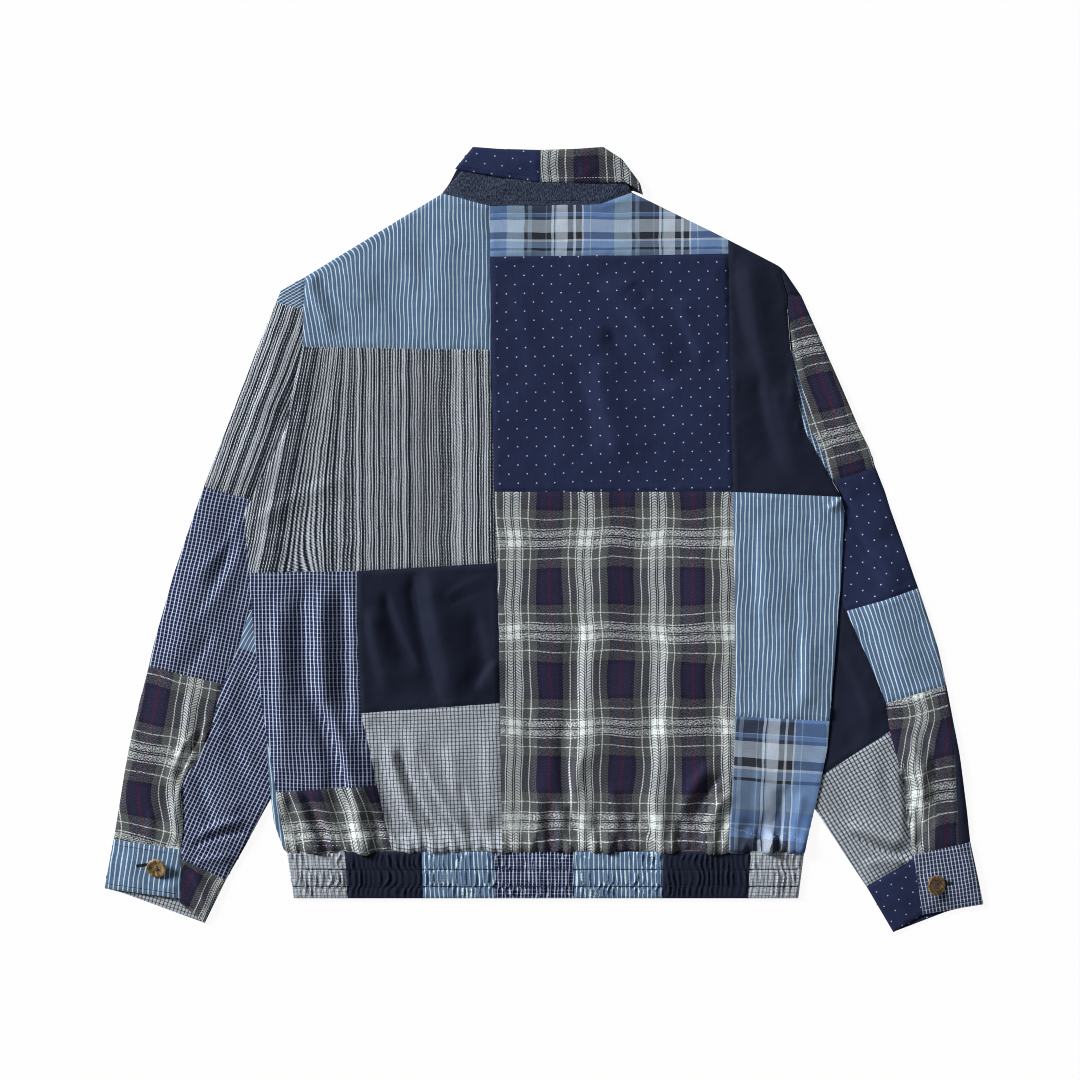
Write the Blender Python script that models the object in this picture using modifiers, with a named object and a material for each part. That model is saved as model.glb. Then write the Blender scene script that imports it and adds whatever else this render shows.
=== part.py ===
"""Patchwork blouson jacket, laid flat on its fronts with its back upwards.

Every patch of cloth is a piece of its own, one gap away from its neighbours along the seams.
The lower layer (fronts, front halves of the sleeves, inner cuffs and the turned-down collar)
lies flat at z = 0. The upper layer (back, back halves of the sleeves, hem band) lies on it:
its edges roll down to the lower layer, and its middle stands a few millimetres higher.
X runs across the jacket, Y from the hem (-Y) to the collar (+Y), and Z out of the back.
The tables below are in millimetres.
"""
import math

import bmesh
import bpy
from mathutils import Vector

OBJECT_NAME = "patched_boro_jacket"
MM = 0.001

# Cloth and layers
CLOTH = 1.2             # wall of one layer of cloth
BAND_CLOTH = 2.2        # hem band: two plies round the elastic
CUFF_CLOTH = 1.8        # cuff: two plies and an interlining
SEAM_GAP = 0.3          # between neighbouring pieces
LAYER_REST = CLOTH + SEAM_GAP   # underside of the upper layer at a rolled edge
RISE = 3.2              # how far the middle of the upper layer stands above its edges
ROLL = 26.0             # width of a rolled edge
BODY_LIFT = 1.6         # the side edges of the body lie over the sleeves
OVERLAP_TOP = 75.0      # the body starts to lift over the sleeves below this level
OVERLAP_TOP_FADE = 45.0
OVERLAP_LOW = -312.0    # and is down again at this level
OVERLAP_LOW_FADE = 30.0
TUCK_MARGIN = 26.0      # flat strip of the sleeve beside the body's edge
COLLAR_LIFT = 2.0       # leaf of the collar above its stand
FOLD_LINE_RISE = 1.4    # the leaf's rounded fold above its lower edge
BAND_DIP = 1.2          # the gathered seam is pulled down to the hem band
BAND_DIP_WIDTH = 45.0
GRID = 31.25            # longest side of a facet
MITRE_LIMIT = 0.35      # keeps an inset corner from running away at a sharp angle
MERGE = 0.00001         # points closer than this are one, in metres
CENTRE_FRONT = 1.0      # the two fronts meet here
COLLAR_FRONT_GAP = 0.5

# Buttons
BUTTON_DIAMETER = 20.0
BUTTON_THICKNESS = 3.2
BUTTON_WELL = 1.1       # depth of the dished middle
BUTTON_RIM = 2.6        # width of the raised rim
BUTTON_HOLE = 1.9
BUTTON_HOLE_PITCH = 3.6
WELL_SLOPE = 1.2        # width of the slope between the well and the rim
RIM_BEVEL = 0.25
EDGE_ROUND = ((1.2, 0.0), (0.3, 0.6), (0.0, 1.5))   # inside the radius, and below the top
BACK_ROUND = ((1.6, 0.35), (3.4, 0.0))              # inside the radius, and above the back
BUTTON_SEGMENTS = 24
HOLE_SEGMENTS = 12
HOLE_LENGTH = 12.0
BUTTON_CLEARANCE = 0.3

# Back: seam crossings on each level, from the left side to the right side
BODY_COLUMNS = ("side_l", "seam_l", "centre", "neck", "neck_r", "seam_r", "side_r")
BODY = {
    "shoulder": ((-238, 263), (-102, 346), (-54, 334), (56, 335), (88, 347), (184, 300), (234, 274)),
    "yoke": ((-240, 230), (-119, 264), (-54, 283), (56, 284), (90, 284), (184, 286), (242, 245)),
    "upper": ((-241, 193), (-144, 191), (-53, 190), (57, 190), (93, 190), (186, 190), (246, 190)),
    "chest": ((-259, 110), (-162, 110), (-51, 110), (58, 110), (96, 110), (187, 110), (258, 110)),
    "breast": ((-292, 40), (-174, 44), (-50, 48), (59, 48), (99, 48), (189, 48), (297, 43)),
    "underarm": ((-299, 29), (-177, 27), (-49, 27), (60, 27), (100, 27), (189, 27), (300, 29)),
    "mid": ((-295, -33), (-187, -31), (-47, -23), (62, -30), (103, -30), (190, -30), (297, -33)),
    "waist": ((-289, -100), (-185, -100), (-45, -95), (64, -100), (107, -100), (191, -105), (291, -110)),
    "low_seam": (
        (-282, -165), (-183, -173), (-44, -163), (66, -170), (110, -172), (191, -176), (285, -181)),
    "blouse": ((-275, -205), (-175, -205), (-43, -205), (68, -205), (114, -205), (190, -207), (283, -208)),
    "low": ((-267, -252), (-167, -245), (-42, -248), (69, -248), (118, -248), (188, -248), (274, -253)),
    "hem": ((-257, -311), (-152, -310), (-42, -310), (70, -310), (120, -310), (184, -310), (260, -311)),
}

# Crescent of the left front that wraps round to the back, and its two edges
SIDE_COLUMNS = ("outer", "inner")
SIDE = {
    "top": ((-277.4, -205), (-275.6, -205)),
    "upper": ((-275.2, -228), (-271.5, -228)),
    "low": ((-273.2, -252), (-267.5, -252)),
    "puff": ((-269.7, -282), (-262.5, -281)),
    "hem": ((-259.9, -309), (-257.6, -310)),
}

# Gathered band, from its left end to its right end
BAND_COLUMNS = ("a", "b", "c", "d", "e", "f", "g", "h")
BAND = {
    "hem": (
        (-257, -311), (-199, -311), (-122, -311), (-50, -311), (30, -311), (119, -311), (206, -311),
        (260, -311)),
    "low": (
        (-250, -358), (-196, -358), (-121, -358), (-49, -358), (30, -358), (118, -358), (204, -358),
        (254, -358)),
}

# Left sleeve: the outer strip, from its outer edge to the armhole and the long seam
SLEEVE_L_COLUMNS = ("outer", "seam")
SLEEVE_L = {
    "cap": ((-263, 249), (-238, 263)),
    "strip": ((-268, 237), (-240, 230)),
    "upper": ((-287, 190), (-241, 193)),
    "chest": ((-318, 110), (-259, 110)),
    "elbow": ((-340, 53), (-292, 40)),
    "underarm": ((-348, 30), (-299, 29)),
    "forearm": ((-370, -34), (-286, -50)),
    "gusset_top": ((-378, -62), (-294, -70)),
    "gusset_low": ((-389, -100), (-306, -108)),
    "check_low": ((-395, -126), (-321, -144)),
    "pleat": ((-400, -146), (-326, -162)),
    "placket": ((-412, -196), (-344, -217)),
    "placket_mid": ((-418, -226), (-359, -235)),
    "placket_bend": ((-422, -250), (-363, -250)),
    "placket_low": ((-426, -275), (-360, -275)),
    "cuff_top": ((-430, -299), (-361.5, -309)),
    "cuff_low": ((-439, -348), (-363, -358)),
}

# Left sleeve: the under strip, from the long seam to the edge under the body
UNDER_L_COLUMNS = ("seam", "inner")
UNDER_L = {
    "gusset_top": ((-294, -70), (-282, -63)),
    "gusset_low": ((-306, -108), (-276, -116)),
    "check_low": ((-321, -144), (-271, -150)),
    "pleat": ((-326, -162), (-269, -176)),
    "placket": ((-344, -217), (-263, -217)),
    "placket_mid": ((-359, -235), (-261, -236)),
    "placket_bend": ((-363, -250), (-268, -250)),
    "placket_low": ((-360, -275), (-282, -275)),
    "wrist": ((-361, -300), (-298, -305)),
    "cuff_top": ((-361.8, -318), (-318, -340)),
    "cuff_low": ((-363, -363), (-339, -383)),
}

# Right sleeve: the outer strip, from the armhole and the long seam to its outer edge
SLEEVE_R_COLUMNS = ("seam", "sliver", "strip", "outer")
SLEEVE_R = {
    "cap": ((234, 274), (234, 274), (237, 272), (240, 269)),
    "navy_low": ((242, 245), (242, 245), (250, 244), (257, 244)),
    "sliver_top": ((246, 190), (248, 190), (266, 190), (281, 190)),
    "sliver_mid": ((252, 150), (258, 150), (280, 150), (298, 151)),
    "chest": ((258, 110), (265, 112), (293, 113), (314, 113)),
    "sliver_low": ((273, 84.2), (279, 87), (306, 90), (325, 92)),
    "dot_top": ((288, 58.5), (290, 60), (313, 66), (331, 73)),
    "breast": ((297, 43), (297, 43), (320, 46), (341, 48)),
    "underarm": ((300, 29), (300, 29), (324, 30), (346, 31)),
    "forearm": ((287, -5), (287, -5), (326, -5), (359, -5)),
    "forearm_low": ((285, -40), (285, -40), (331, -38), (370, -37)),
    "stripe_top": ((302, -71), (302, -71), (340, -60), (374, -48)),
    "stripe_mid": ((324, -120), (324, -120), (361, -112), (393, -105)),
    "flannel_top": ((341, -163), (341, -163), (400.4, -145.5), (402, -145)),
    "pleat": ((345, -191), (345, -191), (406.5, -182), (409, -182)),
    "placket": ((353, -220), (353, -220), (410, -214), (415, -213)),
    "placket_mid": ((361, -250), (361, -250), (411.5, -246), (419.3, -245)),
    "placket_low": ((363, -275), (363, -275), (413, -272), (422.5, -270)),
    "cuff_top": ((368, -314), (368, -314), (414, -304.5), (426, -302)),
    "cuff_low": ((378, -374), (378, -374), (426, -366), (439, -364)),
}

# Right sleeve: the under strip, from the edge under the body to the long seam
UNDER_R_COLUMNS = ("inner", "seam")
UNDER_R = {
    "navy_top": ((284, -56), (291, -51)),
    "stripe_top": ((282, -78), (302, -71)),
    "stripe_mid": ((278, -132), (324, -120)),
    "flannel_top": ((274, -182), (341, -163)),
    "pleat": ((269, -241), (345, -191)),
    "placket": ((262, -256), (353, -220)),
    "placket_mid": ((273, -272), (361, -250)),
    "placket_low": ((288, -295), (363, -275)),
    "wrist": ((305, -321), (366.5, -302)),
    "cuff_top": ((322, -346), (368.7, -318)),
    "cuff_low": ((349, -392), (378, -374)),
}

# Collar: the leaf from its fold to its free edge, and the stand from under the leaf to the neck seam
COLLAR_COLUMNS = ("left", "q1", "centre", "q3", "q4", "q5", "right")
LEAF = {
    "fold": ((-71, 392), (-44, 390), (-4, 389), (31, 390), (59, 392), (78, 380), (96, 356)),
    "edge": ((-89, 370), (-49, 363), (-4, 357), (31, 356), (81, 357), (92, 351), (99, 344)),
}
STAND_COLUMNS = ("left", "q1", "q3", "right")
STAND = {
    "top": ((-78, 373), (-44, 380), (56, 380), (76, 368)),
    "neck": ((-102, 346), (-54, 334), (56, 335), (88, 347)),
}

# Lower layer of the collar, from its right end along the neck seam to its left end
COLLAR_INNER_NECK = (
    (99, 344.6), (89, 348.5), (56, 336.5), (-54, 335.5), (-102, 347.5), (-94, 357), (-89, 370),
)

# Front ends of the collar leaf: neck, centre front, point, and back to the neck. The two that meet
# at the centre front keep COLLAR_FRONT_GAP from it.
COLLAR_FRONT = {
    "left": ((-103, 341), (CENTRE_FRONT - COLLAR_FRONT_GAP, 257), (-46, 206), (-108, 320)),
    "right": ((88, 342), (CENTRE_FRONT + COLLAR_FRONT_GAP, 257), (48, 206), (95, 320)),
}

# Lower edges of the inner layers of the cuffs, which show a little below the outer ones
CUFF_INNER_EDGE = {
    "left": ((-339, -383), (-426, -351), (-438.5, -348.5)),
    "right": ((349, -392), (406, -370), (438.5, -364)),
}

# Patches of the upper layer: piece, net, first and last level, first and last column, fabric
PATCHES = (
    ("back_stripe_shoulder", "body", "shoulder", "upper", "side_l", "centre", "stripe"),
    ("back_slub", "body", "upper", "mid", "side_l", "centre", "slub"),
    ("back_check", "body", "mid", "low", "side_l", "seam_l", "check"),
    ("back_navy_low", "body", "mid", "low_seam", "seam_l", "centre", "navy"),
    ("back_minicheck", "body", "low_seam", "hem", "seam_l", "centre", "minicheck"),
    ("back_flannel_low", "body", "low", "hem", "side_l", "seam_l", "flannel"),
    ("back_madras_yoke", "body", "shoulder", "yoke", "centre", "seam_r", "madras"),
    ("back_dot", "body", "yoke", "breast", "centre", "seam_r", "dot"),
    ("back_flannel", "body", "breast", "hem", "centre", "seam_r", "flannel"),
    ("back_navy_shoulder", "body", "shoulder", "breast", "seam_r", "side_r", "navy"),
    ("back_stripe_side", "body", "breast", "low_seam", "seam_r", "side_r", "stripe"),
    ("back_madras_side", "body", "low_seam", "hem", "seam_r", "side_r", "madras"),
    ("front_side_wrap", "side", "top", "hem", "outer", "inner", "stripe"),
    ("hem_1_minicheck", "band", "hem", "low", "a", "b", "minicheck"),
    ("hem_2_navy", "band", "hem", "low", "b", "c", "navy"),
    ("hem_3_stripe", "band", "hem", "low", "c", "d", "stripe"),
    ("hem_4_check", "band", "hem", "low", "d", "e", "check"),
    ("hem_5_stripe", "band", "hem", "low", "e", "f", "stripe"),
    ("hem_6_navy", "band", "hem", "low", "f", "g", "navy"),
    ("hem_7_minicheck", "band", "hem", "low", "g", "h", "minicheck"),
    ("sleeve_l_cap_check", "sleeve_l", "cap", "strip", "outer", "seam", "check"),
    ("sleeve_l_slub", "sleeve_l", "strip", "elbow", "outer", "seam", "slub"),
    ("sleeve_l_check", "sleeve_l", "elbow", "check_low", "outer", "seam", "check"),
    ("sleeve_l_flannel", "sleeve_l", "check_low", "cuff_top", "outer", "seam", "flannel"),
    ("cuff_l_stripe", "sleeve_l", "cuff_top", "cuff_low", "outer", "seam", "stripe"),
    ("sleeve_l_gusset", "under_l", "gusset_top", "gusset_low", "seam", "inner", "stripe"),
    ("sleeve_l_under", "under_l", "gusset_low", "cuff_top", "seam", "inner", "check"),
    ("cuff_l_flannel", "under_l", "cuff_top", "cuff_low", "seam", "inner", "flannel"),
    ("sleeve_r_cap_navy", "sleeve_r", "cap", "navy_low", "sliver", "outer", "navy"),
    ("sleeve_r_flannel_top", "sleeve_r", "navy_low", "dot_top", "sliver", "outer", "flannel"),
    ("sleeve_r_sliver", "sleeve_r", "sliver_top", "dot_top", "seam", "sliver", "check"),
    ("sleeve_r_dot", "sleeve_r", "dot_top", "stripe_top", "sliver", "outer", "dot"),
    ("sleeve_r_stripe", "sleeve_r", "stripe_top", "flannel_top", "sliver", "outer", "stripe"),
    ("sleeve_r_flannel", "sleeve_r", "flannel_top", "cuff_top", "sliver", "strip", "flannel"),
    ("sleeve_r_edge_navy", "sleeve_r", "flannel_top", "cuff_top", "strip", "outer", "navy"),
    ("cuff_r_check", "sleeve_r", "cuff_top", "cuff_low", "sliver", "outer", "check"),
    ("sleeve_r_under_navy", "under_r", "navy_top", "pleat", "inner", "seam", "navy"),
    ("sleeve_r_under", "under_r", "pleat", "cuff_top", "inner", "seam", "minicheck"),
    ("cuff_r_dot", "under_r", "cuff_top", "cuff_low", "inner", "seam", "dot"),
    ("collar_leaf_dot", "leaf", "fold", "edge", "left", "centre", "dot"),
    ("collar_leaf_flannel", "leaf", "fold", "edge", "centre", "right", "flannel"),
    ("collar_stand", "stand", "top", "neck", "left", "right", "denim"),
)

# Largest folds of the upper layer: both ends of the crest, half of its width, and its height
FOLDS = (
    (201, 265, 246, 60, 26, 2.0),
    (-285, 35, -215, 150, 26, 1.6),
    (-226, -60, -222, -230, 24, 1.4),
    (-160, -50, -60, -150, 28, 1.6),
    (-150, -215, -60, -290, 26, 1.6),
    (56, -165, 36, -290, 26, 2.4),
    (116, -255, 104, -300, 20, 2.0),
    (166, -225, 178, -300, 22, 2.2),
    (240, -60, 236, -190, 26, 1.6),
    (-350, -10, -400, -230, 30, 1.8),
    (352, -60, 392, -240, 30, 1.8),
    (-230, -262, -180, -300, 22, 1.8),
)

# Fabrics: colour, roughness
FABRICS = {
    "stripe": ((0.14, 0.23, 0.36), 0.85),
    "slub": ((0.24, 0.26, 0.28), 0.92),
    "check": ((0.07, 0.10, 0.20), 0.86),
    "navy": ((0.012, 0.015, 0.032), 0.80),
    "minicheck": ((0.30, 0.33, 0.37), 0.86),
    "flannel": ((0.13, 0.13, 0.14), 0.95),
    "madras": ((0.17, 0.25, 0.37), 0.84),
    "dot": ((0.022, 0.032, 0.085), 0.84),
    "denim": ((0.035, 0.048, 0.085), 0.90),
    "horn": ((0.27, 0.17, 0.08), 0.35),
}

# How far the sides of the fronts stay inside the sides of the back, to clear the tucked sleeves
FRONT_INSETS = {
    "underarm": 10.5,
    "mid": 14.0,
    "waist": 14.0,
    "low_seam": 15.0,
    "blouse": 20.0,
    "low": 15.0,
    "hem": 1.5,
}
PLATE_INSET = 0.6
NOTCH_GAP = 0.45        # round the collar's front ends, which lie on the fronts


def columns_of(net, columns, name):
    """One seam or edge line: the named column's point on every level of a net."""
    index = columns.index(name)
    return [points[index] for points in net.values()]


NETS = {
    "body": (BODY, BODY_COLUMNS),
    "side": (SIDE, SIDE_COLUMNS),
    "band": (BAND, BAND_COLUMNS),
    "sleeve_l": (SLEEVE_L, SLEEVE_L_COLUMNS),
    "under_l": (UNDER_L, UNDER_L_COLUMNS),
    "sleeve_r": (SLEEVE_R, SLEEVE_R_COLUMNS),
    "under_r": (UNDER_R, UNDER_R_COLUMNS),
    "leaf": (LEAF, COLLAR_COLUMNS),
    "stand": (STAND, STAND_COLUMNS),
}

UNDERARM_LEVELS = list(BODY)[list(BODY).index("underarm"):]
SIDE_LINE_L = [BODY[level][0] for level in UNDERARM_LEVELS]
SIDE_LINE_R = [BODY[level][-1] for level in UNDERARM_LEVELS]
TOP_LINE_L = [BODY["shoulder"][1]] + columns_of(SLEEVE_L, SLEEVE_L_COLUMNS, "outer")
TOP_LINE_R = list(BODY["shoulder"][4:6]) + columns_of(SLEEVE_R, SLEEVE_R_COLUMNS, "outer")
WRIST_LEVELS_L = ("placket_bend", "placket_low", "wrist", "cuff_top", "cuff_low")
WRIST_LEVELS_R = ("placket_mid", "placket_low", "wrist", "cuff_top", "cuff_low")
WRIST_LINE_L = [UNDER_L[level][1] for level in WRIST_LEVELS_L]
WRIST_LINE_L += [UNDER_L["cuff_low"][0], SLEEVE_L["cuff_low"][0]]
WRIST_LINE_R = [UNDER_R[level][0] for level in WRIST_LEVELS_R]
WRIST_LINE_R += [UNDER_R["cuff_low"][1], SLEEVE_R["cuff_low"][3]]
BAND_END_L = [BAND["hem"][0], BAND["low"][0]]
BAND_END_R = [BAND["hem"][-1], BAND["low"][-1]]
BAND_LINE = [BAND["low"][0], BAND["low"][-1]]


def distance_to_line(x, y, line):
    """Distance from a point to a polyline."""
    best = 1e9
    for (ax, ay), (bx, by) in zip(line, line[1:]):
        ex, ey = bx - ax, by - ay
        length2 = ex * ex + ey * ey
        along = 0.0 if length2 == 0 else max(0.0, min(1.0, ((x - ax) * ex + (y - ay) * ey) / length2))
        best = min(best, math.hypot(x - ax - along * ex, y - ay - along * ey))
    return best


def smooth(value):
    """Ease from 0 to 1."""
    value = max(0.0, min(1.0, value))
    return value * value * (3 - 2 * value)


def roll(distance, width=ROLL):
    """Quarter-round rise across a rolled edge, from 0 at the edge to 1 in the flat."""
    part = 1 - max(0.0, min(1.0, distance / width))
    return math.sqrt(1 - part * part)


def fold_height(x, y):
    """Sum of the largest folds at a point."""
    height = 0.0
    for ax, ay, bx, by, half_width, crest in FOLDS:
        reach = distance_to_line(x, y, [(ax, ay), (bx, by)])
        height += crest * smooth(1 - reach / half_width)
    return height


def side_limit(y, line):
    """X of a side line of the body at the height y."""
    for (ax, ay), (bx, by) in zip(line, line[1:]):
        if by <= y <= ay:
            return ax + (bx - ax) * (ay - y) / (ay - by)
    return line[0][0] if y > line[0][1] else line[-1][0]


def body_height(x, y):
    """Underside of the back, which rolls down along the shoulders and the sides."""
    shoulder = min(distance_to_line(x, y, TOP_LINE_L), distance_to_line(x, y, TOP_LINE_R))
    side = min(distance_to_line(x, y, SIDE_LINE_L), distance_to_line(x, y, SIDE_LINE_R))
    rounded = roll(min(shoulder, side))
    over_sleeve = smooth((OVERLAP_TOP - y) / OVERLAP_TOP_FADE)
    over_sleeve *= smooth((y - OVERLAP_LOW) / OVERLAP_LOW_FADE)
    dip = BAND_DIP * smooth(1 - (y - BODY["hem"][2][1]) / BAND_DIP_WIDTH)
    inner = smooth(side / ROLL) * smooth(shoulder / ROLL)
    lift = BODY_LIFT * over_sleeve * (1 - roll(side))
    return LAYER_REST + RISE * rounded + lift + (fold_height(x, y) - dip) * inner


def band_height(x, y):
    """Underside of the hem band."""
    ends = min(distance_to_line(x, y, BAND_END_L), distance_to_line(x, y, BAND_END_R))
    edge = min(ends, distance_to_line(x, y, BAND_LINE))
    return LAYER_REST + (RISE - BAND_DIP) * roll(edge)


def sleeve_height(x, y):
    """Underside of the sleeves, flat beside and under the body's side edges."""
    outer = min(distance_to_line(x, y, TOP_LINE_L), distance_to_line(x, y, TOP_LINE_R))
    wrist = min(distance_to_line(x, y, WRIST_LINE_L), distance_to_line(x, y, WRIST_LINE_R))
    if x < 0:
        beside = side_limit(y, SIDE_LINE_L) - x
        reach = distance_to_line(x, y, SIDE_LINE_L)
    else:
        beside = x - side_limit(y, SIDE_LINE_R)
        reach = distance_to_line(x, y, SIDE_LINE_R)
    under = 0.0 if beside <= 0 and y < SIDE_LINE_L[0][1] else max(0.0, reach - TUCK_MARGIN)
    edge = min(outer, wrist, under)
    return LAYER_REST + RISE * roll(edge) + fold_height(x, y) * smooth(edge / ROLL)


def leaf_height(x, y):
    """Underside of the collar leaf, which lies on the stand and rises to its fold."""
    to_fold = distance_to_line(x, y, list(LEAF["fold"])[:5])
    return body_height(x, y) + COLLAR_LIFT + FOLD_LINE_RISE * (1 - smooth(to_fold / ROLL))


HEIGHTS = {
    "body": (body_height, CLOTH),
    "side": (body_height, CLOTH),
    "band": (band_height, BAND_CLOTH),
    "sleeve_l": (sleeve_height, CLOTH),
    "under_l": (sleeve_height, CLOTH),
    "sleeve_r": (sleeve_height, CLOTH),
    "under_r": (sleeve_height, CLOTH),
    "leaf": (leaf_height, CLOTH),
    "stand": (body_height, CLOTH),      # level with the back at the neck seam
}


def clear_scene():
    """Remove whatever objects the file opened with."""
    for obj in list(bpy.data.objects):
        bpy.data.objects.remove(obj, do_unlink=True)


def make_material(name, colour, roughness):
    """One plain surface for a fabric or for horn."""
    material = bpy.data.materials.new(name)
    material.use_nodes = True
    surface = material.node_tree.nodes["Principled BSDF"]
    surface.inputs["Base Color"].default_value = (*colour, 1.0)
    surface.inputs["Roughness"].default_value = roughness
    surface.inputs["Metallic"].default_value = 0.0
    return material


def finish_piece(obj, fabric, collection):
    """Give a piece its own material and put it in the jacket's collection."""
    colour, roughness = FABRICS[fabric]
    obj.data.materials.clear()
    obj.data.materials.append(make_material(obj.name + "_" + fabric, colour, roughness))
    collection.objects.link(obj)
    return obj


def divisions(lengths):
    """Facets that a stretch needs, from the longest of the lengths across it."""
    return max(1, math.ceil(max(lengths) / GRID))


def between(a, b, part):
    """Point part of the way from a to b."""
    return (a[0] + (b[0] - a[0]) * part, a[1] + (b[1] - a[1]) * part)


def refine(rows):
    """Split the cells of a net into facets of about GRID, keeping its own lines."""
    row_counts = []
    for upper, lower in zip(rows, rows[1:]):
        row_counts.append(divisions([math.dist(p, q) for p, q in zip(upper, lower)]))
    column_counts = []
    for index in range(len(rows[0]) - 1):
        column_counts.append(divisions([math.dist(row[index], row[index + 1]) for row in rows]))
    wide = []
    for row in rows:
        line = [row[0]]
        for index, count in enumerate(column_counts):
            line += [between(row[index], row[index + 1], (step + 1) / count) for step in range(count)]
        wide.append(line)
    full = [wide[0]]
    for upper, lower, count in zip(wide, wide[1:], row_counts):
        for step in range(count):
            full.append([between(p, q, (step + 1) / count) for p, q in zip(upper, lower)])
    return full


def inset_loop(loop, distance):
    """Move a closed loop inwards by a distance, whichever way round it runs."""
    count = len(loop)
    area = sum(loop[i - 1][0] * loop[i][1] - loop[i][0] * loop[i - 1][1] for i in range(count))
    turn = 1.0 if area > 0 else -1.0
    moved = []
    for i, (x, y) in enumerate(loop):
        before, after = loop[i - 1], loop[(i + 1) % count]
        first = Vector((x - before[0], y - before[1])).normalized()
        second = Vector((after[0] - x, after[1] - y)).normalized()
        normal_1 = Vector((-first.y, first.x)) * turn
        normal_2 = Vector((-second.y, second.x)) * turn
        share = max(MITRE_LIMIT, 1 + normal_1.dot(normal_2))
        shift = (normal_1 + normal_2) * (distance / share)
        moved.append((x + shift.x, y + shift.y))
    return moved


def inset_grid(grid, distance):
    """Move the rim of a grid of points inwards, so that it clears its neighbours at the seams."""
    last_row, last_column = len(grid) - 1, len(grid[0]) - 1
    places = [(0, c) for c in range(last_column)]
    places += [(r, last_column) for r in range(last_row)]
    places += [(last_row, c) for c in range(last_column, 0, -1)]
    places += [(r, 0) for r in range(last_row, 0, -1)]
    moved = inset_loop([grid[r][c] for r, c in places], distance)
    for (r, c), point in zip(places, moved):
        grid[r][c] = point
    return grid


def patch(name, net, first_level, last_level, first_column, last_column, fabric, collection):
    """One patch of the upper layer: a grid on its net, raised, and thickened upwards."""
    levels, columns = NETS[net]
    height, cloth = HEIGHTS[net]
    if name.startswith("cuff"):
        cloth = CUFF_CLOTH
    names = list(levels)
    start, stop = columns.index(first_column), columns.index(last_column)
    span = names[names.index(first_level):names.index(last_level) + 1]
    rows = [list(levels[level][start:stop + 1]) for level in span]
    grid = inset_grid(refine(rows), SEAM_GAP / 2)
    mesh = bpy.data.meshes.new(name)
    shape = bmesh.new()
    points = []
    for line in grid:
        points.append([shape.verts.new((x * MM, y * MM, height(x, y) * MM)) for x, y in line])
    for upper, lower in zip(points, points[1:]):
        for index in range(len(upper) - 1):
            shape.faces.new((upper[index], lower[index], lower[index + 1], upper[index + 1]))
    raised = bmesh.ops.extrude_face_region(shape, geom=shape.faces[:])["geom"]
    raised_points = [part for part in raised if isinstance(part, bmesh.types.BMVert)]
    bmesh.ops.translate(shape, verts=raised_points, vec=(0.0, 0.0, cloth * MM))
    bmesh.ops.recalc_face_normals(shape, faces=shape.faces)
    shape.to_mesh(mesh)
    shape.free()
    return finish_piece(bpy.data.objects.new(name, mesh), fabric, collection)


def plate(name, outline, fabric, collection, thickness=CLOTH):
    """One flat piece of the lower layer: a filled outline with its underside at z = 0."""
    curve = bpy.data.curves.new(name, "CURVE")
    curve.dimensions = "2D"
    curve.fill_mode = "BOTH"
    curve.extrude = thickness / 2 * MM
    spline = curve.splines.new("POLY")
    spline.points.add(len(outline) - 1)
    for point, (x, y) in zip(spline.points, outline):
        point.co = (x * MM, y * MM, 0.0, 1.0)
    spline.use_cyclic_u = True
    source = bpy.data.objects.new(name + "_outline", curve)
    bpy.context.scene.collection.objects.link(source)
    evaluated = source.evaluated_get(bpy.context.evaluated_depsgraph_get())
    mesh = bpy.data.meshes.new_from_object(evaluated)
    bpy.data.objects.remove(source, do_unlink=True)
    shape = bmesh.new()
    shape.from_mesh(mesh)
    bmesh.ops.remove_doubles(shape, verts=shape.verts, dist=MERGE)
    bmesh.ops.recalc_face_normals(shape, faces=shape.faces)
    shape.to_mesh(mesh)
    shape.free()
    obj = bpy.data.objects.new(name, mesh)
    obj.location.z = thickness / 2 * MM
    return finish_piece(obj, fabric, collection)


def front_outline(side):
    """Outline of one front: centre front, collar notch, shoulder, armhole and side."""
    column, sign = (0, -1) if side == "left" else (-1, 1)
    neck, centre, point, low = inset_loop(COLLAR_FRONT[side], -NOTCH_GAP)
    edge = CENTRE_FRONT + sign * SEAM_GAP / 2
    line = [BODY[level][column] for level in BODY]
    insets = [FRONT_INSETS.get(level, PLATE_INSET) for level in BODY]
    sides = [(x - sign * inset, y) for (x, y), inset in zip(line, insets)]
    sides[0] = (sides[0][0], sides[0][1] - PLATE_INSET)
    hem = BODY["hem"][0][1] + SEAM_GAP
    sides[-1] = (sides[-1][0], hem)
    return [(edge, hem), (edge, centre[1] - NOTCH_GAP), point, low, neck] + sides


def sleeve_plate_outline(side):
    """Outline of the front half of a sleeve, under its back half."""
    if side == "left":
        outer = [SLEEVE_L[level][0] for level in SLEEVE_L if level != "cuff_low"]
        top_levels = ("forearm", "underarm", "elbow", "chest", "upper", "strip", "cap")
        top = [SLEEVE_L[level][1] for level in top_levels]
        inner = [UNDER_L[level][1] for level in UNDER_L if level != "cuff_low"]
        across = [SLEEVE_L["cuff_top"][1], UNDER_L["cuff_top"][0]]
    else:
        outer = [SLEEVE_R[level][3] for level in SLEEVE_R if level != "cuff_low"]
        top_levels = (
            "forearm_low", "forearm", "underarm", "breast", "chest", "sliver_top", "navy_low", "cap")
        top = [SLEEVE_R[level][0] for level in top_levels]
        inner = [UNDER_R[level][0] for level in UNDER_R if level != "cuff_low"]
        across = [SLEEVE_R["cuff_top"][0], UNDER_R["cuff_top"][1]]
    return inset_loop(outer + across + inner[::-1] + top, PLATE_INSET)


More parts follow.
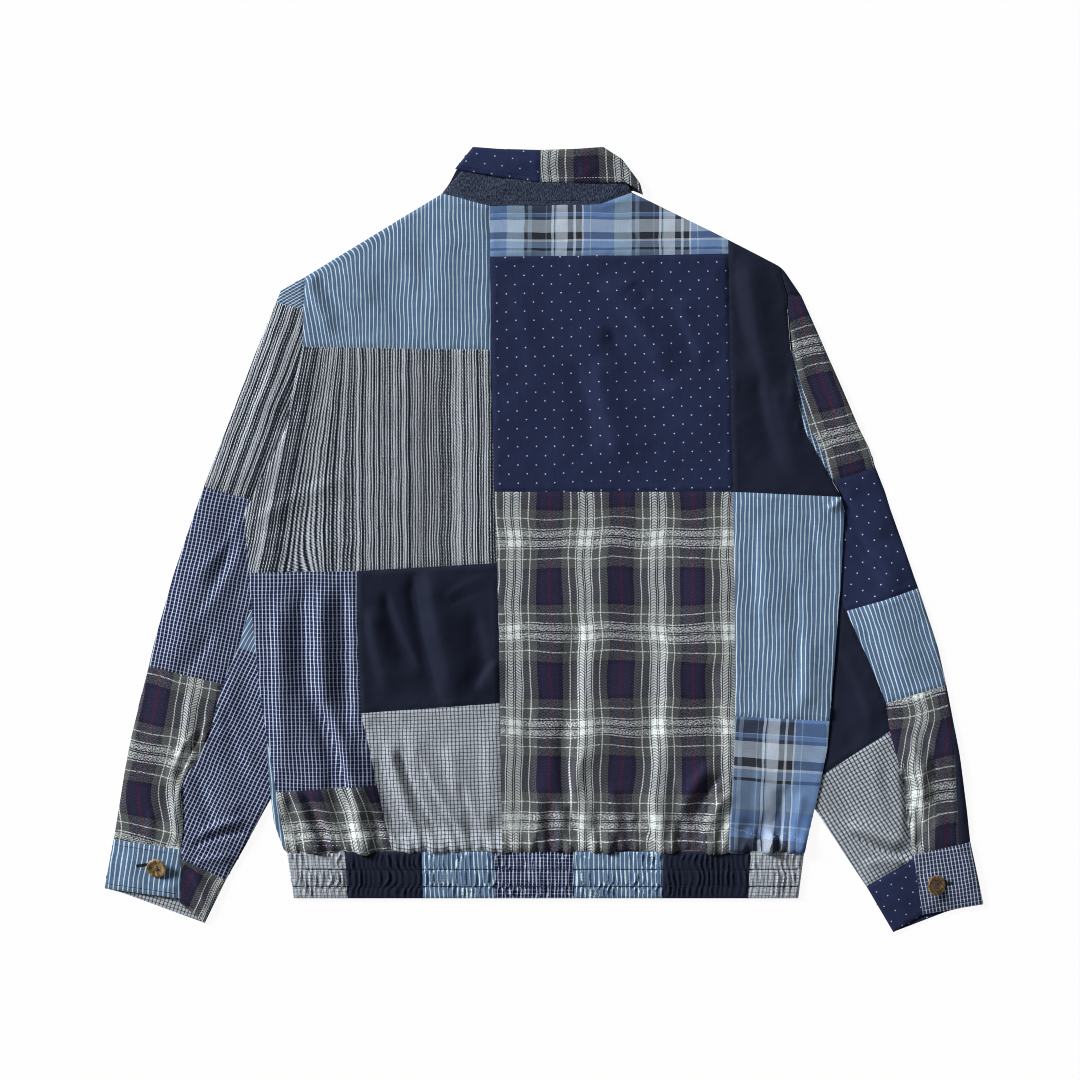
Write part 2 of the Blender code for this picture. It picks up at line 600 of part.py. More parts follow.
def cuff_plate_outline(side):
    """Outline of the inner layer of a cuff, which shows a little below the outer one."""
    if side == "left":
        top = list(SLEEVE_L["cuff_top"] + UNDER_L["cuff_top"])
    else:
        upper, under = SLEEVE_R["cuff_top"], UNDER_R["cuff_top"]
        top = [upper[3], upper[0], under[1], under[0]]
    return inset_loop(top + list(CUFF_INNER_EDGE[side]), SEAM_GAP / 2)


def band_plate_outline(side):
    """Outline of one front half of the hem band."""
    column, sign = (0, -1) if side == "left" else (-1, 1)
    edge = CENTRE_FRONT + sign * SEAM_GAP / 2
    ends = [(x - sign * PLATE_INSET, y) for x, y in (BAND["hem"][column], BAND["low"][column])]
    return [(edge, ends[0][1])] + ends + [(edge, ends[1][1])]


def collar_inner_outline():
    """Outline of the collar's lower layer, whose dark inside shows at both ends of the stand."""
    return inset_loop(list(LEAF["fold"] + COLLAR_INNER_NECK), PLATE_INSET)


def add_lower_layer(collection):
    """Everything that lies flat on the surface."""
    for side in ("left", "right"):
        tag = side[0]
        plate("front_" + side, front_outline(side), "navy", collection)
        plate("collar_front_" + side, COLLAR_FRONT[side], "dot", collection)
        plate("sleeve_" + tag + "_front", sleeve_plate_outline(side), "stripe", collection)
        plate("hem_front_" + side, band_plate_outline(side), "navy", collection)
    plate("cuff_l_inner", cuff_plate_outline("left"), "minicheck", collection)
    plate("cuff_r_inner", cuff_plate_outline("right"), "dot", collection)
    plate("collar_inner", collar_inner_outline(), "navy", collection)


def add_upper_layer(collection):
    """Every patch that shows from above."""
    for row in PATCHES:
        patch(*row, collection)


def button_profile():
    """Half section of a button: flat back, rounded side, raised rim and dished middle."""
    radius, top = BUTTON_DIAMETER / 2, BUTTON_THICKNESS
    rim = radius - BUTTON_RIM
    face = [(0.0, top - BUTTON_WELL), (rim - WELL_SLOPE, top - BUTTON_WELL), (rim, top - RIM_BEVEL)]
    edge = [(radius - inside, top - below) for inside, below in EDGE_ROUND]
    back = [(radius - inside, above) for inside, above in BACK_ROUND]
    return face + edge + back + [(0.0, 0.0)]


def button(name, centre, cuff_top_height, collection, cutters):
    """A four-hole horn button: a turned profile with its sewing holes cut through."""
    mesh = bpy.data.meshes.new(name)
    profile = bmesh.new()
    points = [profile.verts.new((x * MM, 0.0, z * MM)) for x, z in button_profile()]
    for first, second in zip(points, points[1:]):
        profile.edges.new((first, second))
    profile.to_mesh(mesh)
    profile.free()
    obj = bpy.data.objects.new(name, mesh)
    obj.location = Vector((centre[0], centre[1], cuff_top_height + BUTTON_CLEARANCE)) * MM
    turn = obj.modifiers.new("turn", "SCREW")
    turn.steps = BUTTON_SEGMENTS
    turn.render_steps = BUTTON_SEGMENTS
    turn.use_merge_vertices = True
    turn.merge_threshold = MERGE
    half = BUTTON_HOLE_PITCH / 2
    for index, (dx, dy) in enumerate(((-half, -half), (half, -half), (half, half), (-half, half))):
        bpy.ops.mesh.primitive_cylinder_add(
            vertices=HOLE_SEGMENTS, radius=BUTTON_HOLE / 2 * MM, depth=HOLE_LENGTH * MM)
        cutter = bpy.context.object
        cutter.name = f"{name}_hole_{index + 1}"
        cutter.location = obj.location + Vector((dx, dy, 0.0)) * MM
        for holder in list(cutter.users_collection):
            holder.objects.unlink(cutter)
        cutters.objects.link(cutter)
        cutter.hide_render = True
        cutter.display_type = "WIRE"
        hole = obj.modifiers.new("hole", "BOOLEAN")
        hole.object = cutter
        hole.operation = "DIFFERENCE"
        hole.solver = "EXACT"
    return finish_piece(obj, "horn", collection)


def cuff_top_under(centre):
    """Highest point of a cuff below a button."""
    reach = BUTTON_DIAMETER / 2
    steps = [(centre[0] + dx, centre[1] + dy) for dx in (-reach, 0, reach) for dy in (-reach, 0, reach)]
    return max(sleeve_height(x, y) for x, y in steps) + CUFF_CLOTH


BUTTONS = (("button_l", (-386, -327)), ("button_r", (391, -344)))


def main():
    clear_scene()
    jacket = bpy.data.collections.new(OBJECT_NAME)
    cutters = bpy.data.collections.new("cutters")
    bpy.context.scene.collection.children.link(jacket)
    bpy.context.scene.collection.children.link(cutters)
    add_lower_layer(jacket)
    add_upper_layer(jacket)
    for name, centre in BUTTONS:
        button(name, centre, cuff_top_under(centre), jacket, cutters)


main()
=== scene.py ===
"""Patchwork blouson laid flat on its fronts: cloth, threads, buttons and the table under it.

Lengths in the tables are millimetres. X runs across the jacket, Y from the hem to the collar, and Z
out of the back, as in the frame.
"""
import math
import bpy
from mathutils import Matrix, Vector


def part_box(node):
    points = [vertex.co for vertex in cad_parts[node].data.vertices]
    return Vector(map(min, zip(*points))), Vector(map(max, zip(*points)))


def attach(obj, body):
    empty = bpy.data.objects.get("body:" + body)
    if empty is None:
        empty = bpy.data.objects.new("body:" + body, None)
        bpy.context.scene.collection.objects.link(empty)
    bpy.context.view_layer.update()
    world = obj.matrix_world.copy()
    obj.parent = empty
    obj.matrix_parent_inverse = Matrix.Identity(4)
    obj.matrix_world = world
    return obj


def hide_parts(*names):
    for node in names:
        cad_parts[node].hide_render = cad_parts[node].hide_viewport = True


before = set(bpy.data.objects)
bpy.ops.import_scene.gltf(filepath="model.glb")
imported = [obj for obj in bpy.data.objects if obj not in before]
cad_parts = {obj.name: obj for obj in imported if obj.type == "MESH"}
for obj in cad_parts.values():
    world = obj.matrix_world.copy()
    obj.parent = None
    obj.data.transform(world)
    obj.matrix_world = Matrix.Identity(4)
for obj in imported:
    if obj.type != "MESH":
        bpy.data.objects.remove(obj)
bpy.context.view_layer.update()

from types import SimpleNamespace

import bpy
import numpy as np
from mathutils import Matrix, Vector
from mathutils.geometry import delaunay_2d_cdt

bl_info = {
    "name": "Patchwork Blouson",
    "version": (1, 0, 0),
    "blender": (4, 5, 0),
    "location": "3D View > Sidebar > Jacket",
    "description": "Builds a patchwork blouson laid flat: patches, gathers, threads and buttons",
    "category": "Add Mesh",
}

MM = 0.001
BODY = "root"
RIM_ANGLE = 60          # the wall of a cut edge meets its top at a sharper turn than this
FIELD_STEP = 3.0        # grid on which the tops of the frame are sampled
FIELD_MARGIN = 12.0     # and how far it reaches past them
BLUNT = 0.5             # corners of free edges that turn less than this are rounded off
FREE_LAP = 0.1          # free edges reach this far past the frame's outline
SEAM_LAP = 0.3          # and patches this far past their seams, so that no gap shows
UNDERARM = 29.0         # the sleeves are sewn to the body above this level, and lie under it below
UNDER_BODY = 2.6        # height of a sleeve where it lies under the body
OVER_BAND = 4.1         # and of the gathered cloth where it hangs over the band
GROUND = 0.9            # lowest top of the cloth where it rolls round an outer edge
TROUGH = 1.7            # and at the bottom of the deepest creases
SETTLE = 0.25           # how softly it settles on them
SEAM_WIDTH = 1.7        # half width of the dip along a seam
SEAM_FAR = 99.0         # distance of the seams of a piece that has none
RUB_WIDTH = 2.2         # how far the rubbed look of a seam or an edge reaches
NARROWEST = 10.5        # smallest side counted in a patch's cut size, which is worked out but not used
LOWER_MESH = 7.0        # spacing of the mesh of the fronts
LOWER_LIFT = 0.35       # height of their soft creases off the table
SMOOTH_ANGLE = 40       # the buttons are rounded where they turn more, and smooth where less
SENSOR = 36             # width of the camera's sensor

# Layers: wall, spacing of the mesh, softening of the frame's facets, roll at free edges (how far
# the edge drops, and how wide the roll is), layers sewn to it, layers that lie over its edge
LAYER_COLUMNS = ("wall", "mesh", "soften", "drop", "roll", "sewn", "over")
LAYERS = {
    "body": (1, 2.2, 8, 1.5, 4.5, ("body", "band", "stand", "sleeve_l", "sleeve_r"), ()),
    "band": (1.6, 1.5, 3, 1.3, 3, ("band", "body"), ()),
    "sleeve_l": (1, 2.2, 6, 1.6, 4, ("sleeve_l", "cuff_l", "cuff_l_under", "body"), ("body",)),
    "sleeve_r": (1, 2.2, 6, 1.6, 4, ("sleeve_r", "cuff_r", "cuff_r_under", "body"), ("body",)),
    "cuff_l": (1.5, 1.8, 3, 0.9, 2.2, ("sleeve_l",), ()),
    "cuff_r": (1.5, 1.8, 3, 0.9, 2.2, ("sleeve_r",), ()),
    "cuff_l_under": (1.5, 1.8, 3, 1.2, 2.4, ("sleeve_l",), ("cuff_l",)),
    "cuff_r_under": (1.5, 1.8, 3, 1.2, 2.4, ("sleeve_r",), ("cuff_r",)),
    "leaf": (1.4, 1.8, 3, 1.3, 3, ("leaf",), ()),
    "stand": (1.2, 1.8, 3, 0.8, 2, ("stand", "body"), ("leaf",)),
}

# Pieces of the upper layer. Warp and weft are the lean of the threads in degrees: a positive warp
# leans its top to the right, a positive weft rises to the right. The pattern starts at x and y.
# Close and tall are how much denser it runs across and along.
PIECE_COLUMNS = ("layer", "cloth", "warp", "weft", "x", "y", "close", "tall")
PIECES = {
    "back_stripe_shoulder": ("body", "stripe", 0, 0, -56, 190, 1.037, 1),
    "back_slub": ("body", "slub", 0, 0, -56, 0, 1, 1),
    "back_check": ("body", "check", -1, 0, -240, -60, 1, 1),
    "back_navy_low": ("body", "navy", 0, 0, -180, -60, 1, 1),
    "back_minicheck": ("body", "minicheck", -2, 2, -120, -200, 1, 1),
    "back_flannel_low": ("body", "flannel", -17, 2, -258, -292, 1.03, 1),
    "back_madras_yoke": ("body", "madras", 0, 0.5, -54, 336.2, 1, 1.28),
    "back_dot": ("body", "dot", -1, 1.5, -38.7, 281.4, 1, 1),
    "back_flannel": ("body", "flannel", 0, 0, 41.4, 2.2, 1, 1),
    "back_navy_shoulder": ("body", "navy", 0, 0, 200, 100, 1, 1),
    "back_stripe_side": ("body", "stripe", 1.5, 0, 193, 0, 0.966, 1),
    "back_madras_side": ("body", "madras", 3, -4, 158.5, -176, 1, 1),
    "front_side_wrap": ("body", "stripe", -6, 0, -270, -250, 1, 1),
    "hem_1_minicheck": ("band", "bandcheck", -8, 0, -230, -320, 1.0, 1.1),
    "hem_2_navy": ("band", "navy", -6, 0, -150, -320, 1.2, 1),
    "hem_3_stripe": ("band", "stripe", -3, 0, -90, -320, 0.95, 1),
    "hem_4_check": ("band", "check", 0, 0, -10, -320, 1.05, 1.1),
    "hem_5_stripe": ("band", "stripe", -1, 0, 70, -320, 0.95, 1),
    "hem_6_navy": ("band", "navy", 2, 0, 160, -320, 1.2, 1),
    "hem_7_minicheck": ("band", "bandcheck", 6, 0, 230, -320, 1.05, 1.1),
    "sleeve_l_cap_check": ("sleeve_l", "bluecheck", 62, -28, -250, 245, 1.1, 1.1),
    "sleeve_l_slub": ("sleeve_l", "slub", 17, -14, -262, 200, 1, 1),
    "sleeve_l_check": ("sleeve_l", "check", 12, -12, -330, 0, 1.02, 1.04),
    "sleeve_l_flannel": ("sleeve_l", "flannel", 9, -12, -361, -219, 1, 1),
    "cuff_l_stripe": ("cuff_l", "stripe", 6, -6, -400, -330, 0.84, 1),
    "sleeve_l_gusset": ("sleeve_l", "stripe", 30, -20, -292, -90, 1.1, 1),
    "sleeve_l_under": ("sleeve_l", "check", 25, -24, -320, -200, 1, 1.02),
    "cuff_l_flannel": ("cuff_l_under", "flannel", 27, -27, -349, -398, 1.15, 1.1),
    "sleeve_r_cap_navy": ("sleeve_r", "navy", -14, 12, 245, 255, 1, 1),
    "sleeve_r_flannel_top": ("sleeve_r", "flannel", -18.8, 16, 231.8, 183.1, 1, 1),
    "sleeve_r_sliver": ("sleeve_r", "bluecheck", -16, 14, 262, 130, 1, 1),
    "sleeve_r_dot": ("sleeve_r", "dot", -19, 17, 330, 0, 1, 1),
    "sleeve_r_stripe": ("sleeve_r", "stripe", -17, 15, 350, -100, 1, 1),
    "sleeve_r_flannel": ("sleeve_r", "flannel", 0, 15, 372, -259, 1.18, 0.87),
    "sleeve_r_edge_navy": ("sleeve_r", "navy", -8, 8, 412, -220, 1, 1),
    "cuff_r_check": ("cuff_r", "cuffcheck", -9, 9, 400, -340, 1.1, 0.98),
    "sleeve_r_under_navy": ("sleeve_r", "navy", -25, 20, 300, -150, 1, 1),
    "sleeve_r_under": ("sleeve_r", "undercheck", -31, 29, 320, -280, 0.95, 0.95),
    "cuff_r_dot": ("cuff_r_under", "dot", -27, 27, 350, -370, 1.1, 1.1),
    "collar_leaf_dot": ("leaf", "leafdot", 10, -8, -60, 375, 1, 1),
    "collar_leaf_flannel": ("leaf", "flannel", 0, -1, 6, 318, 1, 1),
    "collar_stand": ("stand", "denim", 0, 0, 0, 350, 1, 1),
}

# Pieces of the lower layer: cloth, and the lean of its warp
LOWER = {
    "front_left": ("navy", 0), "front_right": ("navy", 0), "collar_front_left": ("dot", 30),
    "collar_front_right": ("dot", -30), "sleeve_l_front": ("stripe", 14),
    "sleeve_r_front": ("stripe", -14), "hem_front_left": ("navy", 0),
    "hem_front_right": ("navy", 0), "cuff_l_inner": ("minicheck", 18), "cuff_r_inner": ("dot", -18),
    "collar_inner": ("navy", 0),
}

# Where a pattern fans out: piece, side it starts from, reach, lean of the threads at that side,
# and the level at which they keep their place
FANS = (
    ("back_stripe_shoulder", -240, 85, -0.17, 262), ("back_slub", -241, 62, 0.20, 150),
    ("sleeve_l_slub", -262, 40, 0.06, 200),
)
# Bends of the threads where cloth is pulled: piece, height of the bend, reach, push to the right
SWAYS = (
    ("sleeve_r_flannel", -176, 18, 5), ("sleeve_r_flannel", -228, 18, -4),
    ("sleeve_l_flannel", -246, 18, -2.5), ("sleeve_l_flannel", -292, 20, 7),
)
# The stripes of the left shoulder bend towards the sleeve on the last part of their way to a line
SHOULDER_LINE = (-238, 268, -100, 344)
SHOULDER_BEND = 12.0

# Creases of a layer or a piece: both ends, bow to the side, half width, rise
CREASES = {
    "body": (
        # left shoulder
        (-236, 266, -208, 205, -4, 7, 1.5), (-226, 268, -192, 215, -3, 6, -1),
        (-208, 272, -168, 232, 3, 8, 0.8), (-104, 312, -112, 214, 5, 14, 0.7),
        (-150, 285, -140, 200, 3, 12, -0.5),
        # slub patch, pulled from the underarm
        (-293, 16, -188, 62, 6, 9, 1.2), (-291, 45, -236, 150, 6, 7, -1.2),
        (-297, 0, -196, -10, 5, 8, 0.9), (-268, 100, -240, 176, 2, 8, 0.8),
        (-150, 180, -146, -18, 4, 16, 0.5), (-104, 170, -98, 0, -3, 12, -0.4),
        # small check patch
        (-240, -40, -233, -180, -3, 9, -2.8), (-234, -150, -194, -308, 7, 8, -3.8),
        (-222, -44, -216, -180, -3, 8, 3), (-216, -160, -182, -306, 6, 9, 3.8),
        (-202, -38, -199, -210, 2, 8, -2.4), (-264, -52, -256, -238, -3, 10, 2.7),
        (-272, -140, -262, -250, -3, 7, 0.8), (-190, -60, -192, -140, 1, 6, 0.8),
        # low flannel patch
        (-242, -250, -214, -311, 3, 4.5, -2), (-257, -256, -243, -311, 2, 5, -1.4),
        (-250, -262, -230, -308, 2, 5, 1.2), (-178, -268, -160, -311, 2, 5, -1.2),
        # plain navy patch
        (-160, -50, -127, -134, -4, 7, -2.4), (-174, -66, -150, -156, -3, 10, 2.2),
        (-133, -30, -103, -168, -3, 7, -3), (-116, -28, -82, -168, -3, 15, 4),
        (-100, -60, -54, -38, 4, 6, 0.5), (-98, -68, -50, -48, 3, 5, -0.3),
        (-44, -120, -63, -156, -3, 8, 1.7), (-72, -70, -60, -156, 3, 10, -1.3),
        # mini check patch
        (-168, -214, -127, -308, -3, 6, -2.6), (-158, -196, -113, -306, -4, 8, 2.4),
        (-146, -206, -98, -308, -5, 6, -2.6), (-136, -188, -86, -304, -5, 9, 2),
        (-128, -214, -78, -306, -5, 6, -2), (-96, -200, -64, -300, -4, 10, 1.6),
        (-84, -240, -60, -306, -3, 6, -1.5), (-58, -190, -56, -300, 3, 9, 0.8),
        # big flannel patch
        (22, -176, 27, -268, -3, 6.5, -3), (27, -262, 25, -311, 2, 5, -2.4),
        (38, -206, 34, -296, -4, 7, 3), (93, -276, 109, -311, 2, 5.5, -3.2),
        (105, -250, 119, -304, 3, 8, 2), (180, -232, 146, -306, -9, 6.5, -2.4),
        (172, -218, 134, -296, -9, 8, 1.4), (187, -250, 160, -306, -6, 6, 1.8),
        (7, -258, 11, -311, 2, 4.5, -1.8), (-6, -270, -10, -306, 2, 5, 1.2),
        (60, 24, 65, -120, 3, 18, 0.8), (96, 34, 101, -142, -4, 13, -0.7),
        (150, 20, 148, -150, 4, 15, 0.6), (66, -240, 72, -306, 2, 6, 1.3),
        (33, -70, 23, -196, 3, 9, -1.7), (50, -96, 41, -230, -3, 10, 1.5),
        (112, -84, 98, -262, 3, 9, -1.5), (130, -70, 116, -250, 3, 10, 1.3),
        (168, -120, 180, -240, -3, 9, -1.4), (-18, -150, -12, -290, 2, 8, -1.1),
        (128, -226, 134, -306, 2, 7, -1.4),
        # madras patch with its stitched tuck
        (228, -292, 221, -311, 2, 3.5, 3), (220, -289, 213, -311, 2, 3.5, -2.6),
        (206, -286, 199, -310, 2, 4.5, 1.6), (236, -290, 231, -311, 1, 4, -2),
        (241, -244, 229, -298, 3, 6.5, -1.8), (216, -222, 212, -286, 2, 9, 1),
        (256, -250, 248, -304, 2, 6, 1.2),
        # stripe on the right side
        (262, -94, 258, -178, 2, 8, 1.2), (251, -40, 248, -172, 3, 7, -0.9),
        (222, 25, 227, -92, -4, 12, 0.9), (208, 10, 208, -140, 3, 8, -0.6),
        (297, 42, 282, 30, 1, 4, 1.6), (262, 30, 272, -40, 3, 7, -0.7),
        # dot patch
        (52, 262, 128, 160, 9, 13, 2.2), (60, 214, 130, 150, -6, 9, -1.9),
        (53, 186, 84, 72, -5, 12, 1.7), (28, 180, 46, 80, 4, 11, -1.2),
        (130, 242, 162, 168, 5, 11, 1.4), (-30, 250, -8, 150, 5, 13, 0.5),
        (86, 256, 104, 236, 3, 7, -0.7),
        # navy shoulder
        (187, 286, 214, 163, -6, 9, -1.9), (213, 170, 240, 60, -6, 9, -1.8),
        (204, 288, 231, 148, -5, 11, 1.5), (233, 160, 262, 60, -5, 12, 1.2),
        (250, 228, 247, 120, 3, 9, 0.9),
    ),
    "sleeve_l": (
        (-300, 26, -352, -40, 5, 7, 1.2), (-298, 6, -350, -88, 6, 7, 1.3),
        (-310, 12, -340, -60, 4, 6, -1.2), (-262, 215, -296, 110, 4, 10, 0.9),
        (-272, 180, -318, 60, -5, 9, -0.8), (-360, -40, -374, -130, 3, 10, 0.9),
        (-330, -90, -372, -140, 5, 7, -1), (-338, -188, -366, -242, -3, 3.2, -2),
    ),
    "sleeve_l_flannel": (
        (-352, -150, -372, -236, 5, 7, 1.4), (-334, -176, -341, -204, 0, 6, 1.2),
        (-348, -190, -376, -250, -4, 6, 1.6), (-361, -240, -364, -306, -5, 5, 1.6),
        (-378, -236, -384, -300, 3, 7, -1), (-404, -160, -412, -280, -3, 8, 0.7),
        (-392, -268, -398, -306, 2, 6, 0.9),
    ),
    "sleeve_l_under": (
        (-352, -308, -292, -291, 4, 4, -1.6), (-346, -296, -296, -280, 4, 5, 1.8),
        (-336, -250, -300, -268, -4, 7, 1.2), (-350, -322, -310, -318, 3, 4, 1.4),
        (-330, -190, -286, -226, 5, 9, 1), (-318, -160, -292, -250, -5, 8, -1),
        (-348, -236, -330, -300, 4, 6, -1.2), (-308, -130, -330, -200, 3, 8, 0.9),
    ),
    "cuff_l_under": (
        (-352, -330, -336, -374, 2, 5, 0.8),
    ),
    "cuff_l": (
        (-415, -312, -420, -350, 2, 8, 0.5), (-384, -348, -366, -350, 2, 5, 0.6),
    ),
    "sleeve_r": (
        (276, 182, 306, 96, 4, 10, 1), (300, 60, 344, 0, -5, 9, 1),
        (300, 36, 350, -46, -6, 7, -1.1), (296, 12, 352, -60, 5, 8, 1.2),
        (322, -60, 374, -130, -5, 9, 1), (312, -86, 352, -150, 4, 6, -1),
        (350, -64, 392, -110, 3, 8, -0.8), (358, -228, 365, -306, 3, 3.2, -3),
    ),
    "sleeve_r_flannel": (
        (376, -186, 388, -246, 5, 6, -1), (364, -196, 374, -262, 4, 7, 1.8),
        (388, -200, 378, -300, -7, 6, 1.4), (372, -262, 376, -312, 3, 4, -1.6),
        (366, -236, 380, -262, 2, 4, 1.6), (364, -258, 368, -310, -3, 4, 1.8),
        (394, -270, 388, -306, 2, 6, 0.9),
    ),
    "sleeve_r_under": (
        (304, -292, 370, -318, -4, 4, -2.6), (304, -280, 366, -302, -4, 6, 2.2),
        (318, -324, 362, -322, 3, 5, 1.4), (340, -222, 356, -290, -3, 5, -0.4),
        (330, -216, 344, -286, -4, 8, 0.4), (290, -250, 326, -286, -4, 8, -1),
    ),
    "sleeve_r_under_navy": (
        (296, -110, 330, -190, 5, 8, 1), (284, -170, 318, -206, 4, 8, -1),
    ),
    "cuff_r": (
        (382, -330, 388, -368, 3, 6, 0.7), (420, -312, 428, -352, 2, 8, 0.5),
    ),
    "leaf": (
        (-70, 380, 60, 380, -4, 10, 0.5), (-40, 362, 40, 362, 2, 6, -0.4),
        (30, 386, 44, 360, 2, 7, 0.6),
    ),
    "stand": (
        (-60, 352, 60, 352, 4, 7, 0.5),
    ),
}
# How much steeper one side of a crease is than the other, and the way that the cloth has slumped
CREASE_LEAN = 0.5
CREASE_FALL = (2.3, -1.5)

# Gathers that rise from the hem band: place on the seam, height, lean of the top, half width, depth
GATHERS = (
    (-252, 42, -3, 3.4, 1.3), (-243, 73, -16, 4, 2.2), (-232, 34, -9, 3.2, 1.3),
    (-218, 64, -22, 4.2, 2.6), (-206, 28, -8, 3.2, 1.2), (-191, 84, -27, 4.6, 3.1),
    (-176, 36, -7, 3.4, 1.4), (-163, 56, -16, 4, 2.1), (-150, 31, -11, 3, 1.3),
    (-140, 87, -32, 4.6, 2.4), (-128, 36, -11, 3.2, 1.4), (-117, 67, -24, 4, 2.1),
    (-104, 31, -7, 3.2, 1.3), (-95, 62, -22, 4, 1.9), (-83, 42, -14, 3.4, 1.4),
    (-70, 56, -12, 4, 1.8), (-59, 31, -5, 3, 1.1), (-47, 48, -4, 3.6, 1.5), (-34, 36, 0, 3.4, 1.3),
    (-20, 56, -5, 4.2, 1.9), (-7, 34, 4, 3.4, 1.4), (7, 64, -5, 4.2, 2.4), (19, 31, 1, 3.2, 1.4),
    (31, 84, 4, 4.4, 2.9), (45, 36, 3, 3.4, 1.3), (57, 48, -4, 4, 2), (71, 34, 7, 3.4, 1.3),
    (85, 59, -7, 4, 1.9), (96, 34, -4, 3.2, 1.3), (107, 62, -18, 4.4, 3.2), (121, 36, 4, 3.6, 1.5),
    (134, 50, 9, 4.2, 2.3), (149, 78, 27, 4.8, 3.3), (161, 39, 9, 3.6, 1.7), (172, 56, 16, 4, 2.2),
    (183, 34, 5, 3.2, 1.5), (194, 36, 7, 3.4, 1.5), (203, 48, 7, 3.8, 1.9),
    (212, 42, 11, 3.6, 2.4), (221, 31, 5, 3, 1.8), (231, 53, 12, 4, 2.3), (243, 36, 5, 3.4, 1.4),
    (252, 48, 7, 3.6, 1.5),
)
HEM_SEAM = -311.0
HEM_OVERHANG = 3.6      # the gathered cloth bulges over the band between two gathers
GATHERED = 100.0        # no gather reaches higher than this above the seam
PUFF_HEIGHT = 24.0
PUFF_RISE = 6.0
# Larger and smaller bulges: place on the seam, half width, how much more
BULGES = (
    (-230, 8, 0.5), (-200, 4, -0.9), (-177, 9, 0.7), (-152, 8, -0.6), (-20, 7, 0.3), (64, 8, 0.4),
    (107, 4, -0.9), (126, 9, 0.5), (152, 4, -0.9), (170, 8, 0.5),
)

# Hem band: ripples of the elastic, and its two rows of stitches
RIPPLE_PITCH = 5.7
RIPPLE_RISE = 0.8
BAND_ROWS = (-328.5, -346.0)

# Rows of stitches: layer, thread, both ends of straight runs, pitch
STITCH_ROWS = (
    ("cuff_l", "thread_dark", ((-436.5, -343.2), (-365.2, -353)), 3),
    ("cuff_l", "thread_dark", ((-429, -304), (-364.5, -313.6)), 3),
    ("cuff_r", "thread_dark", ((380, -368.4), (436.6, -358.6)), 3),
    ("cuff_r", "thread_dark", ((371.5, -318), (426.5, -306.6)), 3),
    ("cuff_l_under", "thread_dark", ((-362, -358), (-339, -377.4)), 3),
    ("cuff_r_under", "thread_dark", ((350.6, -386.6), (376.6, -370.4)), 3),
    ("leaf", "thread_dark", ((-84, 373), (-48, 367.6), (-5, 361.8)), 2.8),
    ("leaf", "thread_light", ((-3, 361.8), (31, 360.8), (78, 361.8), (90, 355)), 2.8),
    ("stand", "thread_dark", ((-92, 348.4), (-53, 338.4), (0, 338.6), (54, 339.2),
      (80, 348.6)), 2.8),
    ("body", "thread_light", ((186, -287.4), (206, -292.4), (217, -298.4), (228, -296),
      (240, -292.4), (262, -301.6)), 3.2),
    ("body", "thread_light", ((-254, -303.5), (-222, -305), (-186, -304)), 3.4),
    ("sleeve_l", "thread_light", ((-336, -190), (-351, -218), (-361, -236)), 3.2),
    ("sleeve_r", "thread_light", ((358, -222), (365, -250), (368.6, -282)), 3.2),
)
# Loose ends of thread: layer, where they start, their direction in degrees, length
LOOSE_ENDS = (
    ("body", 174, -308, -70, 12), ("body", 176, -309, -40, 8), ("body", -151, -300, 60, 7),
    ("sleeve_l", -290, -72, 150, 6), ("cuff_r", 374, -330, 200, 5),
)
# Buttonholes: cuff, middle, direction in degrees, length
BUTTONHOLES = (("cuff_l", -398.5, -324, 8, 17), ("cuff_r", 402, -343, 6, 15))

# How the buttons sit on their thread: turn of the holes, tilt about a line, its direction, lift
BUTTON_POSES = {"button_l": (20, 27, -18, 2.6), "button_r": (-15, 26, 82, 2.2)}
BUTTON_BLANK = 0.9      # the blank is this share of the button until its face is cut
BUTTON_HOLES = 0.15     # how far the holes lie from the middle both ways, as a share of the radius
# Steps of a button's face from its edge inwards: width by its radius, rise by its height
BUTTON_FACE = (
    (0.06, 0.05), (0.08, 0), (0.1, -0.06), (0.08, -0.22), (0.12, -0.08), (0.16, -0.02),
)


# Settings -------------------------------------------------------------------------------------

def linear(*rgb):
    """A colour written as 0 to 255 in sRGB, as linear light."""
    parts = (part / 255 for part in rgb)
    return tuple(p / 12.92 if p <= 0.04045 else ((p + 0.055) / 1.055) ** 2.4 for p in parts)


def shade(name, description, *rgb):
    """A colour in the panel."""
    return bpy.props.FloatVectorProperty(
        name=name, description=description, subtype="COLOR", size=3, min=0, max=1,
        default=linear(*rgb))


def length(name, description, default, low, high):
    """A length in the panel, written in millimetres."""
    return bpy.props.FloatProperty(
        name=name, description=description, default=default * MM, min=low * MM, max=high * MM,
        unit="LENGTH", precision=5)


def number(name, description, default, low, high):
    """A plain number in the panel."""
    return bpy.props.FloatProperty(
        name=name, description=description, default=default, min=low, max=high)


